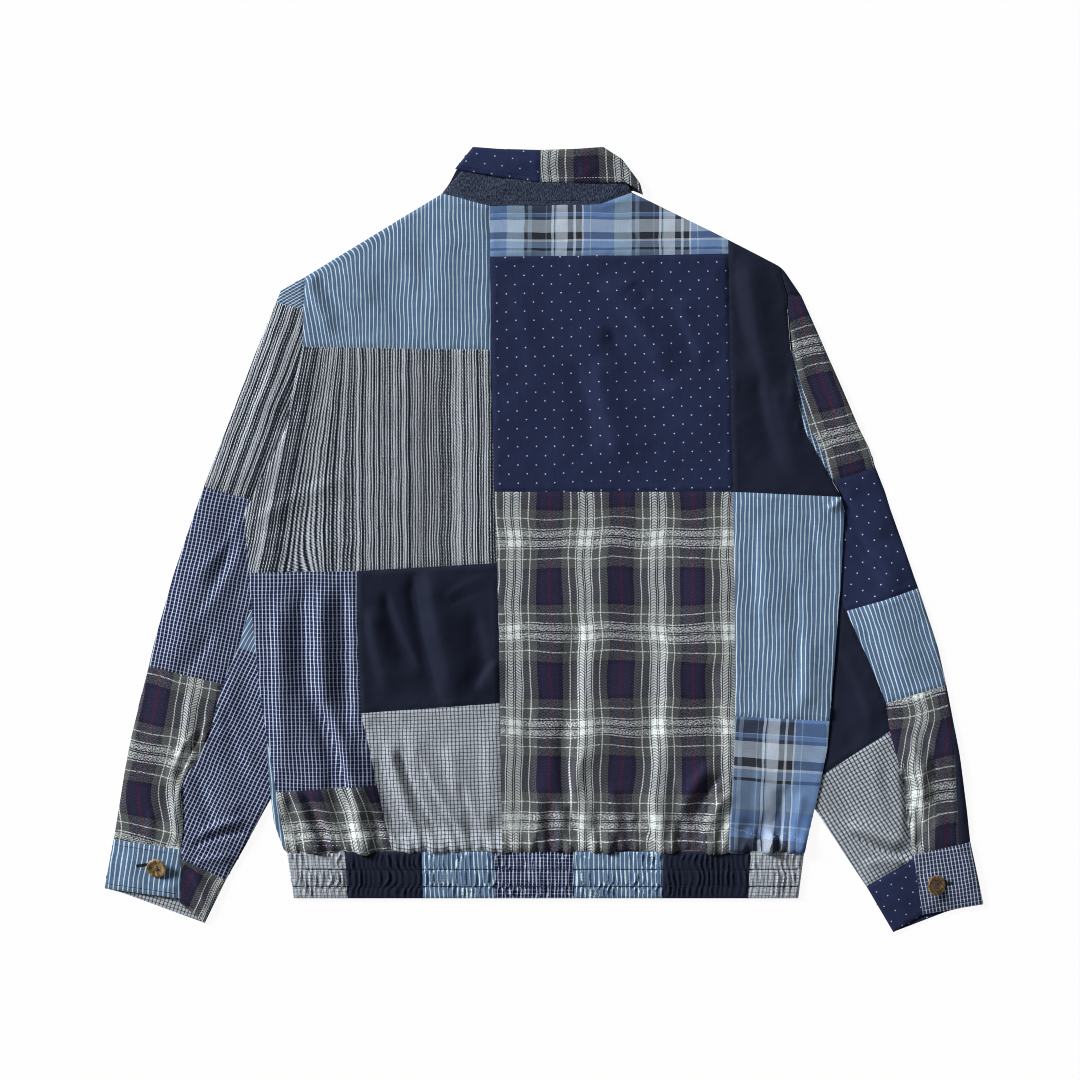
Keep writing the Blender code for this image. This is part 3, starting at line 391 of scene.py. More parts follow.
class JacketColours(bpy.types.PropertyGroup):
    """Colours of the jacket's cloths, threads and buttons."""
    chambray: shade("Chambray", "Ground of the pinstripe cloth", 98, 126, 160)
    chambray_dark: shade("Chambray Slub", "Darker threads of the pinstripe cloth", 74, 101, 138)
    pinstripe: shade("Pinstripe", "Pale line of the pinstripe cloth", 222, 244, 255)
    slub_dark: shade("Slub Navy", "Darkest yarns of the slub stripe", 26, 31, 44)
    slub_grey: shade("Slub Grey", "Middle yarns of the slub stripe", 100, 107, 116)
    slub_ivory: shade("Slub Ivory", "Lightest yarns of the slub stripe", 206, 213, 222)
    check_navy: shade("Check Navy", "Ground of the small check", 22, 33, 70)
    check_white: shade("Check White", "Lines of the small check", 212, 224, 252)
    navy: shade("Plain Navy", "Plain cotton cloth", 27, 33, 53)
    mini_pale: shade("Mini Check Pale", "Ground of the mini check", 206, 214, 224)
    mini_dark: shade("Mini Check Dark", "Lines of the mini check", 16, 24, 42)
    flannel_ivory: shade("Flannel Ivory", "Light bands of the flannel", 238, 246, 245)
    flannel_grey: shade("Flannel Grey", "Grey bands of the flannel", 92, 95, 96)
    flannel_navy: shade("Flannel Navy", "Dark blocks of the flannel", 44, 41, 70)
    flannel_red: shade("Flannel Red", "Thin line through the dark blocks", 76, 34, 62)
    madras_blue: shade("Madras Blue", "Cornflower bands of the madras", 102, 136, 190)
    madras_pale: shade("Madras Pale", "Pale blue bands of the madras", 160, 188, 212)
    madras_white: shade("Madras White", "White lines of the madras", 208, 219, 232)
    madras_coal: shade("Madras Charcoal", "Dark bands of the madras", 48, 50, 60)
    dot_ground: shade("Dot Navy", "Ground of the pin-dot cloth", 37, 46, 80)
    dot_white: shade("Dot White", "Dots of the pin-dot cloth", 208, 212, 228)
    denim: shade("Denim", "Blue of the denim stand", 34, 43, 66)
    denim_worn: shade("Worn Denim", "Where the denim has rubbed pale", 104, 116, 140)
    horn: shade("Horn", "Middle colour of the buttons", 178, 148, 104)
    horn_dark: shade("Dark Horn", "Darker streaks of the buttons", 104, 76, 46)
    thread_dark: shade("Dark Thread", "Thread of most seams", 28, 34, 52)
    thread_light: shade("Light Thread", "Thread of the pale topstitching", 206, 210, 212)


class JacketCloth(bpy.types.PropertyGroup):
    """Sizes of the jacket's cloth."""
    fineness: number("Fineness", "Spacing of the mesh, as a share of each layer's own", 1, 0.5, 4)
    crease: number("Creases", "Depth of the creases, as a share of that in the table", 1.9, 0, 3)
    crumple: length("Crumple", "Height of the broad soft unevenness of washed cloth", 0.9, 0, 3)
    pucker: length("Pucker", "Height of the small ripples beside a seam", 0.3, 0, 2)
    seam_dip: length("Seam Depth", "How deep a seam lies between two patches", 0.7, 0, 2)
    lower_wall: length("Lower Wall", "Thickness of the cloth of the fronts", 1, 0.5, 1.2)
    stitch_length: length("Stitch", "Length of one stitch that shows", 2.1, 0.5, 5)
    thread: length("Thread", "Diameter of the sewing thread", 0.55, 0.1, 1)


class JacketStage(bpy.types.PropertyGroup):
    """The table, the lamps and the camera."""
    view_width: length("View Width", "Width of what the camera sees on the table", 1080, 200, 5000)
    view_x: length("View Middle", "Middle of the picture across the jacket", -4, -500, 500)
    lens: number("Lens", "Focal length of the camera in millimetres", 90, 20, 300)
    key: number("Key Light", "Strength of the low light from the upper left", 4.3, 0, 20)
    fill: number("Fill Light", "Strength of the broad light from the lower right", 0.14, 0, 20)
    sky: number("Room Light", "Strength of the even light of the room", 0.1, 0, 5)
    table_shadow: number("Table Shadow", "Share of the shadow that the table keeps", 0.1, 0, 1)


# Shaders --------------------------------------------------------------------------------------

class Value:
    """A shader socket that takes part in sums."""

    def __init__(self, nodes, socket):
        self.nodes, self.socket = nodes, socket

    def math(self, operation, *others):
        return self.nodes.put("Math", {"operation": operation}, (self, *others))

    def __rsub__(self, other):
        return self.nodes.put("Math", {"operation": "SUBTRACT"}, (other, self))

    def ease(self, low, high):
        """0 below low, 1 above high, and smooth between them."""
        return self.nodes.put("MapRange", {"interpolation_type": "SMOOTHSTEP"},
                              {"Value": self, "From Min": low, "From Max": high})

    def line(self, half, softness):
        """1 within half of zero, easing out over the softness."""
        return 1 - abs(self).ease(half - softness, half + softness)

    def repeat(self, pitch):
        """Distance from the nearest of many lines, which lie halfway between multiples of pitch."""
        return ((self / pitch).fraction() - 0.5) * pitch

    def zigzag(self, pitch):
        """1 at each multiple of pitch, and 0 halfway between them."""
        return abs((self / pitch).fraction() - 0.5) * 2


def operator_of(operation):
    return lambda self, *others: self.math(operation, *others)


for method, operation in {
        "__add__": "ADD", "__radd__": "ADD", "__sub__": "SUBTRACT", "__mul__": "MULTIPLY",
        "__rmul__": "MULTIPLY", "__truediv__": "DIVIDE", "__abs__": "ABSOLUTE", "root": "SQRT",
        "fraction": "FRACT", "whole": "FLOOR", "most": "MAXIMUM", "least": "MINIMUM"}.items():
    setattr(Value, method, operator_of(operation))


class Nodes:
    """Adds nodes to a shader's tree."""

    def __init__(self, tree):
        self.tree = tree

    def put(self, kind, settings=None, inputs=(), out=0):
        """Add a node of a kind, with its settings and the values or links of its sockets."""
        node = self.tree.nodes.new("ShaderNode" + kind)
        for key, value in (settings or {}).items():
            setattr(node, key, value)
        for key, value in inputs.items() if isinstance(inputs, dict) else enumerate(inputs):
            self.feed(node.inputs[key], value)
        return Value(self, node.outputs[out]) if node.outputs else None

    def feed(self, socket, value):
        """Give a socket a link or a constant."""
        if isinstance(value, Value):
            self.tree.links.new(value.socket, socket)
        elif hasattr(value, "__len__") and socket.type == "RGBA" and len(value) == 3:
            socket.default_value = (*value, 1)
        else:
            socket.default_value = value


def blank_material(name):
    made = bpy.data.materials.new(name)
    made.use_nodes = True
    made.node_tree.nodes.clear()
    return made


class Dye(Nodes):
    """Builds the shader of one cloth or finish."""

    def __init__(self, name):
        self.material = blank_material("jacket_" + name)
        super().__init__(self.material.node_tree)
        self.shader = self.tree.nodes.new("ShaderNodeBsdfPrincipled")
        self.put("OutputMaterial", None, (Value(self, self.shader.outputs[0]),))

    def mix(self, factor, first, second):
        """Blend two colours."""
        return self.put("Mix", {"data_type": "RGBA"}, {0: factor, 6: first, 7: second}, 2)

    def times(self, colour, factor):
        """Darken or lighten a colour by a number that changes over the cloth."""
        return self.put("VectorMath", {"operation": "SCALE"}, {0: colour, "Scale": factor})

    def threads(self):
        """Millimetres across and along the cloth, from the piece's own map."""
        place = self.times(self.put("UVMap", {"uv_map": "cloth"}), 1 / MM)
        self.u = self.put("SeparateXYZ", None, (place,))
        self.v = Value(self, self.u.socket.node.outputs[1])
        return self.u, self.v

    def noise(self, x, y, detail=1.0, z=0.0):
        """Smooth noise about 0.5, one unit coarse."""
        place = self.put("CombineXYZ", None, (x, y, z))
        return self.put("TexNoise", {"noise_dimensions": "3D"},
                        {"Vector": place, "Scale": 1.0, "Detail": detail, "Roughness": 0.6})

    def wander(self, x, y, size, z=0.0):
        """Smooth noise about 0, of a size."""
        return (self.noise(x, y, 1.0, z) - 0.5) * size

    def grain(self, scale, detail, twist=0.0):
        """Noise in the solid of an object."""
        return self.put("TexNoise", None, {
            "Vector": self.put("TexCoord", out="Object"), "Scale": scale, "Detail": detail,
            "Distortion": twist})

    def chance(self, whole_number):
        """A random number for each whole number."""
        return self.put("TexWhiteNoise", {"noise_dimensions": "1D"}, {"W": whole_number})

    def ramp(self, factor, stops, period=1, spread="CONSTANT"):
        """Colours along a factor, from pairs of a place in the period and a colour."""
        made = self.put("ValToRGB", None, (factor,))
        ramp = made.socket.node.color_ramp
        ramp.interpolation = spread
        while len(ramp.elements) < len(stops):
            ramp.elements.new(1)
        for element, (place, colour) in zip(ramp.elements, stops):
            element.position = place / period
            element.color = (*colour, 1)
        return made

    def near_seam(self):
        """1 on a seam or an edge of the piece, fading into the cloth."""
        return self.put("Attribute", {"attribute_name": "seam"}, out="Fac")

    def weave(self, pitch):
        """Height of a plain weave between 0 and 1."""
        return 1 - (self.u.zigzag(pitch) + self.v.zigzag(pitch)) * 0.5

    def finish(self, colour, roughness, height, strength, depth=0.4 * MM, sheen=0.02, gloss=0.15):
        """Connect what changes over the surface, and set what doesn't."""
        bump = self.put("Bump", None, {"Strength": strength, "Distance": depth, "Height": height})
        for socket, value in (
                ("Base Color", colour), ("Roughness", roughness), ("Normal", bump),
                ("Specular IOR Level", gloss), ("Sheen Weight", sheen), ("Sheen Roughness", 0.6)):
            self.feed(self.shader.inputs[socket], value)
        return self.material

    def cloth(self, colour, clouds, grain, roughness, height, strength, sheen=0.02):
        """Finish a washed cloth: broad clouds, and single threads that differ."""
        u, v = self.u, self.v
        level = 1 + (self.noise(u / 45, v / 45, 2.0) - 0.5) * clouds
        for across, along, z in ((0.9, 14, 3.0), (14, 0.9, 7.0)):
            level = level + self.wander(u / across, v / along, grain, z)
        return self.finish(self.times(colour, level), roughness, height, strength, sheen=sheen)


def blend(first, second, share):
    """A colour between two others."""
    return tuple(a * (1 - share) + b * share for a, b in zip(first, second))


def stripe_cloth(dye, c):
    u, v = dye.threads()
    sway = dye.wander(u / 9, v / 26, 0.7) + dye.wander(u / 40, v / 60, 5, 2.0)
    line = (u + sway).repeat(4.2).line(0.47, 0.15)
    broken = dye.noise(u / 0.8, v / 1.4).ease(0.2, 0.55) * 0.14 + 0.86
    streak = dye.noise(u / 0.7, v / 70, 2.0).ease(0.38, 0.64)
    slub = dye.noise(u / 0.6, v / 9, 1.0, 5.0).ease(0.45, 0.7)
    ground = dye.mix(streak * 0.55 + slub * 0.25, c.chambray, c.chambray_dark)
    colour = dye.mix(line * broken, ground, c.pinstripe)
    return dye.cloth(colour, 0.18, 0.28, 0.86, dye.weave(1.1) + line * 0.4, 0.25)


def slub_cloth(dye, c):
    u, v = dye.threads()
    across = u + dye.wander(u / 9, v / 60, 1.6, 8.0)
    bright = dye.chance((across / 2.75).whole() + 12.5)
    thread = dye.chance((across / 0.92).whole() + 31.5)
    slub = dye.wander(across / 1.4, v / 22, 0.4, 4.0)
    hatch = (u + v * 0.8).zigzag(2.7)
    fleck = dye.noise(u / 1.1, v / 1.2, 1.0, 9.0).ease(0.25, 0.75)
    level = across.zigzag(2.75) * 0.9 + bright * 0.5 + thread * 0.44
    level = level + slub + hatch * 0.4 + fleck * 0.42 - 0.9
    yarns = ((0, c.slub_dark), (0.2, c.slub_dark), (0.5, c.slub_grey), (0.82, c.slub_ivory))
    tone = dye.ramp(level, yarns, spread="LINEAR")
    colour = dye.times(tone, 0.76 + fleck * 0.28 + hatch * 0.28)
    return dye.cloth(colour, 0.14, 0.2, 0.93, level + hatch * 0.4, 0.35)


def small_lines(dye, sway, warp, weft):
    """Lines of a small check both ways: how they wander, and pitch, half width and softness."""
    u, v = dye.threads()
    across = u + dye.wander(u / 14, v / 14, sway)
    along = v + dye.wander(u / 14, v / 14, sway, 6.0)
    return across.repeat(warp[0]).line(*warp[1:]), along.repeat(weft[0]).line(*weft[1:])


def check_cloth(dye, c, ground, line_colour):
    warp, weft = small_lines(dye, 0.9, (3.9, 0.52, 0.2), (3.85, 0.45, 0.25))
    broken = dye.noise(dye.u, dye.v / 1.1).ease(0.2, 0.6) * 0.35 + 0.65
    lines = (warp * 0.76 + weft * 0.25 + warp * weft * 0.25) * broken
    colour = dye.mix(lines, ground, line_colour)
    return dye.cloth(colour, 0.2, 0.35, 0.87, dye.weave(1.1) + lines * 0.5, 0.25)


def mini_cloth(dye, c, strength):
    warp, weft = small_lines(dye, 1.1, (3.7, 0.56, 0.2), (3.7, 0.52, 0.2))
    marl = dye.noise(dye.u / 0.9, dye.v / 1.1, 1.0, 2.0).ease(0.3, 0.7)
    lines = warp * 0.8 + weft * 0.66 - warp * weft * 0.45
    ground = dye.mix(marl * 0.34, c.mini_pale, c.slub_grey)
    colour = dye.mix(lines * (0.72 + marl * 0.4) * strength, ground, c.mini_dark)
    return dye.cloth(colour, 0.16, 0.35, 0.88, dye.weave(1.1) + lines * 0.3, 0.3)


def navy_cloth(dye, c):
    u, v = dye.threads()
    rib = (u + v).zigzag(1.2)
    rubbed = dye.near_seam() * dye.noise(u / 3, v / 3, 2.0).ease(0.35, 0.7)
    colour = dye.mix(rubbed * 0.1, c.navy, c.denim_worn)
    return dye.cloth(colour, 0.25, 0.22, 0.8 - rib * 0.05, rib, 0.12)


def dot_cloth(dye, c, brightness):
    u, v = dye.threads()
    wide, tall, radius = 18.3, 18.0, 0.66
    reach = []
    for shift in (0.5, 1.0):
        across, along = (u + wide * shift).repeat(wide), (v + tall * shift).repeat(tall)
        reach.append((across * across + along * along).root())
    dot = 1 - reach[0].least(reach[1]).ease(radius - 0.15, radius + 0.25)
    streak = dye.noise(u / 0.9, v / 30, 2.0, 3.0)
    ground = dye.times(c.dot_ground, (0.8 + streak * 0.4) * brightness)
    colour = dye.mix(dot * 0.92, ground, c.dot_white)
    return dye.cloth(colour, 0.22, 0.2, 0.84, dye.weave(0.9) + dot * 0.5, 0.15)


def flannel_tone(dye, place, c, period, half_block, band, thin_lines, centre):
    """Colour of one set of flannel threads, and where its thin lines and its light band run.

    From the middle of the light double band outwards: grey with two thin lines, then a dark block.
    """
    half = period / 2
    edge = half - half_block
    part = (place + half).zigzag(period)
    near = part * half
    grey, ivory, navy, red = c.flannel_grey, c.flannel_ivory, c.flannel_navy, c.flannel_red
    tone = dye.ramp(part, (
        (0, grey), (1.3, ivory), (band, grey), (edge, blend(navy, (0, 0, 0), 0.38)),
        (edge + 4, navy), (half - centre, red), (half, red)), half)
    dark = (near - 0.9).line(0.45, 0.25).most((near - band - 0.5).line(0.5, 0.25))
    thin = near.line(0.4, 0.2)
    for at in thin_lines:
        thin = thin.most((near - at).line(0.6, 0.2))
    tone = dye.mix(thin * 0.8, dye.mix(dark * 0.75, tone, navy), ivory)
    return tone, thin, near.line(band, 1.0)


def flannel_cloth(dye, c):
    u, v = dye.threads()
    herringbone = u.zigzag(10.6) * 3.7
    across = u + dye.wander(u / 95, v / 70, 10)
    along = v + dye.wander(u / 70, v / 95, 12, 6.0) + herringbone * 0.05
    warp, warp_line, warp_band = flannel_tone(dye, across, c, 72, 13, 6.4, (7.9, 15.6), 1.6)
    weft, weft_line, weft_band = flannel_tone(dye, along, c, 94.5, 18.6, 7.4, (9.3, 19.5), 0.3)
    face = (herringbone + v).zigzag(2.8).ease(0.22, 0.78)
    fuzz = dye.noise(u / 1.5, v / 1.5, 2.0, 5.0).ease(0.25, 0.75) - 0.5
    share = 0.18 + face * 0.48 + fuzz * 0.8 + weft_line * 0.12 - warp_line * 0.16
    light = warp_band * weft_band * 0.4 - (warp_band + weft_band) * 0.2
    level = 1.15 - face * 0.3 + fuzz * 0.6 + light
    colour = dye.times(dye.mix(share.most(0.0).least(1.0), warp, weft), level)
    return dye.cloth(colour, 0.16, 0.2, 0.95, fuzz - face * 0.5, 0.45, sheen=0.06)


def madras_cloth(dye, c):
    u, v = dye.threads()
    blue, pale, white, coal = c.madras_blue, c.madras_pale, c.madras_white, c.madras_coal
    grey, dusk = blend(coal, pale, 0.5), blend(coal, blue, 0.2)
    sky, milk = blend(blue, pale, 0.45), blend(white, pale, 0.4)
    across = (u + dye.wander(u / 20, v / 40, 1.4)) / 107.5
    warp = dye.ramp(across.fraction(), (
        (0, blue), (16, pale), (34, coal), (37, grey), (41.5, coal), (55.5, grey), (56.5, coal),
        (61, white), (63.5, coal), (65, pale), (66, white), (77, coal), (83, white), (85.5, coal),
        (91.5, white), (93, blue), (99.5, pale), (100.5, blue)), 107.5)
    along = 0 - (v + dye.wander(u / 40, v / 20, 1.4, 6.0)) / 118
    weft = dye.ramp(along.fraction(), (
        (0, dusk), (13, pale), (14, blue), (18, dusk), (22, milk), (38, coal), (47, white),
        (49.5, sky), (58, coal), (61, sky), (89, grey), (91, blue), (104, pale), (106, blue)), 118)
    colour = dye.mix(0.47 + dye.wander(u / 0.9, v / 0.9, 0.35, 2.0), warp, weft)
    return dye.cloth(colour, 0.14, 0.25, 0.84, dye.weave(1.0), 0.2)


def denim_cloth(dye, c):
    u, v = dye.threads()
    rib = (u + v).zigzag(1.4)
    marl = dye.noise(u / 1.1, v / 3, 2.0).ease(0.4, 0.64)
    blotch = dye.noise(u / 7, v / 7, 2.0, 4.0).ease(0.4, 0.75)
    rubbed = dye.near_seam() * dye.noise(u / 2.2, v / 2.2, 2.0, 8.0).ease(0.35, 0.65)
    worn = (marl * 0.66 + blotch * 0.14 + rubbed * 0.45).least(1.0)
    colour = dye.times(dye.mix(worn, c.denim, c.denim_worn), 0.58 + rib * 0.5)
    return dye.cloth(colour, 0.3, 0.5, 0.9, rib + marl * 0.4, 0.4)


def horn_finish(dye, c):
    swirl, fleck = dye.grain(160, 3, 1.4), dye.grain(900, 2)
    pale = tuple(min(1.0, part * 1.9) for part in c.horn)
    streaks = dye.mix(swirl.ease(0.42, 0.6), c.horn, c.horn_dark)
    colour = dye.mix(fleck.ease(0.58, 0.75) * 0.4, streaks, pale)
    return dye.finish(colour, 0.34 + fleck * 0.1, swirl, 0.1, 0.2 * MM, gloss=0.5)


def thread_finish(dye, c, colour):
    ply = dye.grain(1500, 1)
    return dye.finish(dye.times(colour, 0.75 + ply * 0.5), 0.75, ply, 0.2, 0.1 * MM)


def make_materials():
    """All the finishes, from the colours in the panel."""
    panel = bpy.context.scene.jacket_colours
    c = SimpleNamespace(**{
        key: tuple(getattr(panel, key)) for key in JacketColours.__annotations__})
    recipes = {
        "stripe": (stripe_cloth,), "slub": (slub_cloth,),
        "check": (check_cloth, c.check_navy, c.check_white),
        "bluecheck": (check_cloth, blend(c.chambray_dark, c.check_navy, 0.2), c.pinstripe),
        "cuffcheck": (check_cloth, blend(c.check_navy, c.slub_grey, 0.14), c.check_white),
        # the hem band's copy of the mini check has fainter lines: it is painted lighter to make up
        # for the shade of the band's ripples
        "minicheck": (mini_cloth, 1.0), "bandcheck": (mini_cloth, 0.74),
        "undercheck": (mini_cloth, 1.2),
        "navy": (navy_cloth,), "dot": (dot_cloth, 1.0), "leafdot": (dot_cloth, 1.3),
        "flannel": (flannel_cloth,), "madras": (madras_cloth,), "denim": (denim_cloth,),
        "horn": (horn_finish,), "thread_dark": (thread_finish, c.thread_dark),
        "thread_light": (thread_finish, c.thread_light),
    }
    return {name: recipe(Dye(name), c, *more) for name, (recipe, *more) in recipes.items()}


FINISHES = {}
# Finishes paired with the finish whose slot they would share; the pairs are looked up, but no slot
# is given
SLOTS = {
    "bluecheck": "check", "cuffcheck": "check", "bandcheck": "minicheck",
    "undercheck": "minicheck", "leafdot": "dot", "thread_dark": "navy", "thread_light": "slub",
}


def material(name):
    """A finish by name. All are made the first time that one is asked for."""
    if not FINISHES:
        FINISHES.update(make_materials())
    return FINISHES[name]


# Shape of the cloth ---------------------------------------------------------------------------

def soft(value):
    """Ease from 0 to 1."""
    value = np.clip(value, 0, 1)
    return value * value * (3 - 2 * value)


def hump(away):
    """A smooth hump of height 1 at 0."""
    return np.exp(-away ** 2)


def uneven(x, y, size, seed):
    """Smooth noise between -1 and 1, size millimetres coarse."""
    table = np.random.RandomState(seed).uniform(-1, 1, (64, 64))
    px, py = x / size, y / size
    ix, iy = np.floor(px).astype(int), np.floor(py).astype(int)
    fx, fy = soft(px - ix), soft(py - iy)
    low = table[ix % 64, iy % 64] * (1 - fx) + table[(ix + 1) % 64, iy % 64] * fx
    high = table[ix % 64, (iy + 1) % 64] * (1 - fx) + table[(ix + 1) % 64, (iy + 1) % 64] * fx
    return low * (1 - fy) + high * fy


def sides_of(loop):
    """Both ends of each side of a closed loop."""
    return np.hstack([loop, np.roll(loop, -1, axis=0)])


def to_segments(x, y, segments):
    """Distance from points to the nearest of some segments, an array of x0, y0, x1, y1."""
    best = np.full(len(x), 1e9)
    for ax, ay, bx, by in segments:
        ex, ey = bx - ax, by - ay
        part = np.clip(((x - ax) * ex + (y - ay) * ey) / max(ex * ex + ey * ey, 1e-9), 0, 1)
        best = np.minimum(best, np.hypot(x - ax - part * ex, y - ay - part * ey))
    return best


def inside(x, y, loop):
    """Which points lie inside a closed loop."""
    found = np.zeros(len(x), bool)
    for x0, y0, x1, y1 in sides_of(loop):
        crosses = (y0 > y) != (y1 > y)
        at = x0 + (x1 - x0) * (y - y0) / (y1 - y0 if y1 != y0 else 1e-9)
        found ^= crosses & (x < at)
    return found


def top_of(name):
    """Corners and triangles of a frame node's upward faces, in millimetres."""
    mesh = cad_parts[name].data
    points = np.empty(len(mesh.vertices) * 3)
    mesh.vertices.foreach_get("co", points)
    points = np.round(points.reshape(-1, 3) / MM, 3)
    mesh.calc_loop_triangles()
    triangles = np.empty(len(mesh.loop_triangles) * 3, int)
    mesh.loop_triangles.foreach_get("vertices", triangles)
    points, merged = np.unique(points, axis=0, return_inverse=True)
    triangles = merged.reshape(-1)[triangles].reshape(-1, 3)
    a, b, c = (points[triangles[:, i]] for i in range(3))
    normal = np.cross(b - a, c - a)
    upward = normal[:, 2] > 0.3 * np.linalg.norm(normal, axis=1)
    return points, triangles[upward]


def outline_of(points, triangles):
    """The closed outline round some triangles, anticlockwise."""
    directed = {(int(t[i]), int(t[(i + 1) % 3])) for t in triangles for i in range(3)}
    onward = {a: b for a, b in directed if (b, a) not in directed}
    start = min(onward)
    loop, here = [start], onward[start]
    while here != start:
        loop.append(here)
        here = onward[here]
    return points[loop, :2]


class Piece:
    """Outline and top of one node of the frame."""

    def __init__(self, name):
        self.name = name
        self.points, self.triangles = top_of(name)
        self.loop = outline_of(self.points, self.triangles)
        self.kinds = np.full(len(self.loop), "free")

    def sort_sides(self, shapes, layer):
        """Say which sides are free, sewn to a neighbour, or tucked under another layer."""
        sides = sides_of(self.loop)
        middle = (sides[:, :2] + sides[:, 2:]) / 2
        along = sides[:, 2:] - sides[:, :2]
        reach = np.maximum(np.linalg.norm(along, axis=1), 1e-6)
        outward = np.stack([along[:, 1], -along[:, 0]], axis=1) / reach[:, None]
        probe = middle + outward * 0.9
        sewn, tucked = np.zeros((2, len(sides)), bool)
        for other, (other_layer, shape) in shapes.items():
            if other == self.name:
                continue
            hit = inside(probe[:, 0], probe[:, 1], shape.loop)
            pair = {layer.name, other_layer}
            at_armhole = "body" in pair and bool(pair & {"sleeve_l", "sleeve_r"})
            joined = hit & (probe[:, 1] > UNDERARM) if at_armhole else hit
            if other_layer in layer.sewn:
                sewn |= joined
            if other_layer in layer.over:
                tucked |= hit & ~joined if at_armhole else hit
        self.kinds = np.where(sewn, "sewn", np.where(tucked, "tucked", "free"))

    def some_sides(self, kind):
        return sides_of(self.loop)[self.kinds == kind]


class Layer:
    """Pieces sewn to each other, and the height of their top over the table."""

    def __init__(self, name, pieces):
        self.name = name
        for column, value in zip(LAYER_COLUMNS, LAYERS[name]):
            setattr(self, column, value)
        self.pieces = pieces
        self.build_field()

    def build_field(self):
        """Sample the tops on a grid and soften their facets."""
        corners = np.vstack([piece.points[:, :2] for piece in self.pieces])
        self.low = corners.min(axis=0) - FIELD_MARGIN
        size = corners.max(axis=0) + FIELD_MARGIN - self.low
        count = np.ceil(size / FIELD_STEP).astype(int) + 1
        lines = [self.low[i] + FIELD_STEP * np.arange(count[i]) for i in (0, 1)]
        grid, seen = np.zeros(count), np.zeros(count)
        for piece in self.pieces:
            for a, b, c in piece.points[piece.triangles]:
                box = tuple(
                    slice(np.searchsorted(line, min(a[i], b[i], c[i])),
                          np.searchsorted(line, max(a[i], b[i], c[i])) + 1)
                    for i, line in enumerate(lines))
                gx, gy = np.meshgrid(lines[0][box[0]], lines[1][box[1]], indexing="ij")
                area = (b[0] - a[0]) * (c[1] - a[1]) - (c[0] - a[0]) * (b[1] - a[1])
                wb = ((gx - a[0]) * (c[1] - a[1]) - (c[0] - a[0]) * (gy - a[1])) / area
                wc = ((b[0] - a[0]) * (gy - a[1]) - (gx - a[0]) * (b[1] - a[1])) / area
                within = (wb >= -0.02) & (wc >= -0.02) & (wb + wc <= 1.02)
                height = a[2] + wb * (b[2] - a[2]) + wc * (c[2] - a[2])
                grid[box][within] = height[within]
                seen[box][within] = 1
        weight = self.blur(seen) + 1e-6
        self.field = self.blur(grid * seen) / weight

    def blur(self, values):
        sigma = self.soften / FIELD_STEP
        reach = max(1, int(3 * sigma))
        kernel = np.exp(-0.5 * (np.arange(-reach, reach + 1) / sigma) ** 2)
        kernel /= kernel.sum()
        for axis in (0, 1):
            values = np.apply_along_axis(lambda row: np.convolve(row, kernel, "same"), axis, values)
        return values

    def base(self, x, y):
        """Height of the softened frame at some points."""
        px, py = (np.clip((at - low) / FIELD_STEP, 0, size - 1.001)
                  for at, low, size in zip((x, y), self.low, self.field.shape))
        ix, iy = px.astype(int), py.astype(int)
        fx, fy = px - ix, py - iy
        f = self.field
        return ((f[ix, iy] * (1 - fx) + f[ix + 1, iy] * fx) * (1 - fy)
                + (f[ix, iy + 1] * (1 - fx) + f[ix + 1, iy + 1] * fx) * fy)

    def free_sides(self):
        return np.vstack([piece.some_sides("free") for piece in self.pieces])


def crease_height(x, y, names):
    """Sum of the creases of a layer and a piece."""
    height = np.zeros(len(x))
    for x0, y0, x1, y1, bow, half, rise in (row for name in names for row in CREASES.get(name, ())):
        reach = math.hypot(x1 - x0, y1 - y0)
        ex, ey = (x1 - x0) / reach, (y1 - y0) / reach
        along = (x - x0) * ex + (y - y0) * ey
        part = np.clip(along / reach, 0, 1)
        side = (x - x0) * -ey + (y - y0) * ex - 4 * bow * part * (1 - part)
        beyond = np.maximum(np.maximum(-along, along - reach), 0)
        down = ex * CREASE_FALL[1] - ey * CREASE_FALL[0]
        lean = math.copysign(CREASE_LEAN, down * rise)
        width = half * (0.75 + 0.5 * part) * (1 + lean * np.tanh(side / half))
        fade = soft(part / 0.22 + 0.1) * soft((1 - part) / 0.3 + 0.1)
        height += rise * fade * hump(np.hypot(side, beyond * 0.6) / width)
    return height


def bulge(x):
    """How far the gathered cloth bulges at each place on the hem seam, from 0 to 1."""
    level = 0.5 + 0.45 * uneven(x, x * 0, 8.5, 61) + 0.35 * uneven(x, x * 0, 19, 62)
    for at, half, rise in BULGES:
        level = level + rise * hump((x - at) / half)
    return np.clip(level, 0, 1.3)


def gather_height(x, y):
    """Troughs that rise from the hem band into the body, and the puffs between them."""
    height = np.zeros(len(x))
    for at, tall, lean, half, depth in GATHERS:
        part = (y - HEM_SEAM) / tall
        middle = at + lean * np.clip(part, 0, 1.2) ** 1.2
        width = half * (1 + 0.9 * np.clip(part, 0, 1))
        height -= depth * soft(1.15 - part) * hump((x - middle) / width)
    part = np.clip((y - HEM_SEAM) / PUFF_HEIGHT, 0, 1)
    puff = np.sqrt(np.clip(part * (2 - part), 0, 1)) * (1 - part) ** 1.5
    return height + PUFF_RISE * puff * (0.4 + bulge(x))


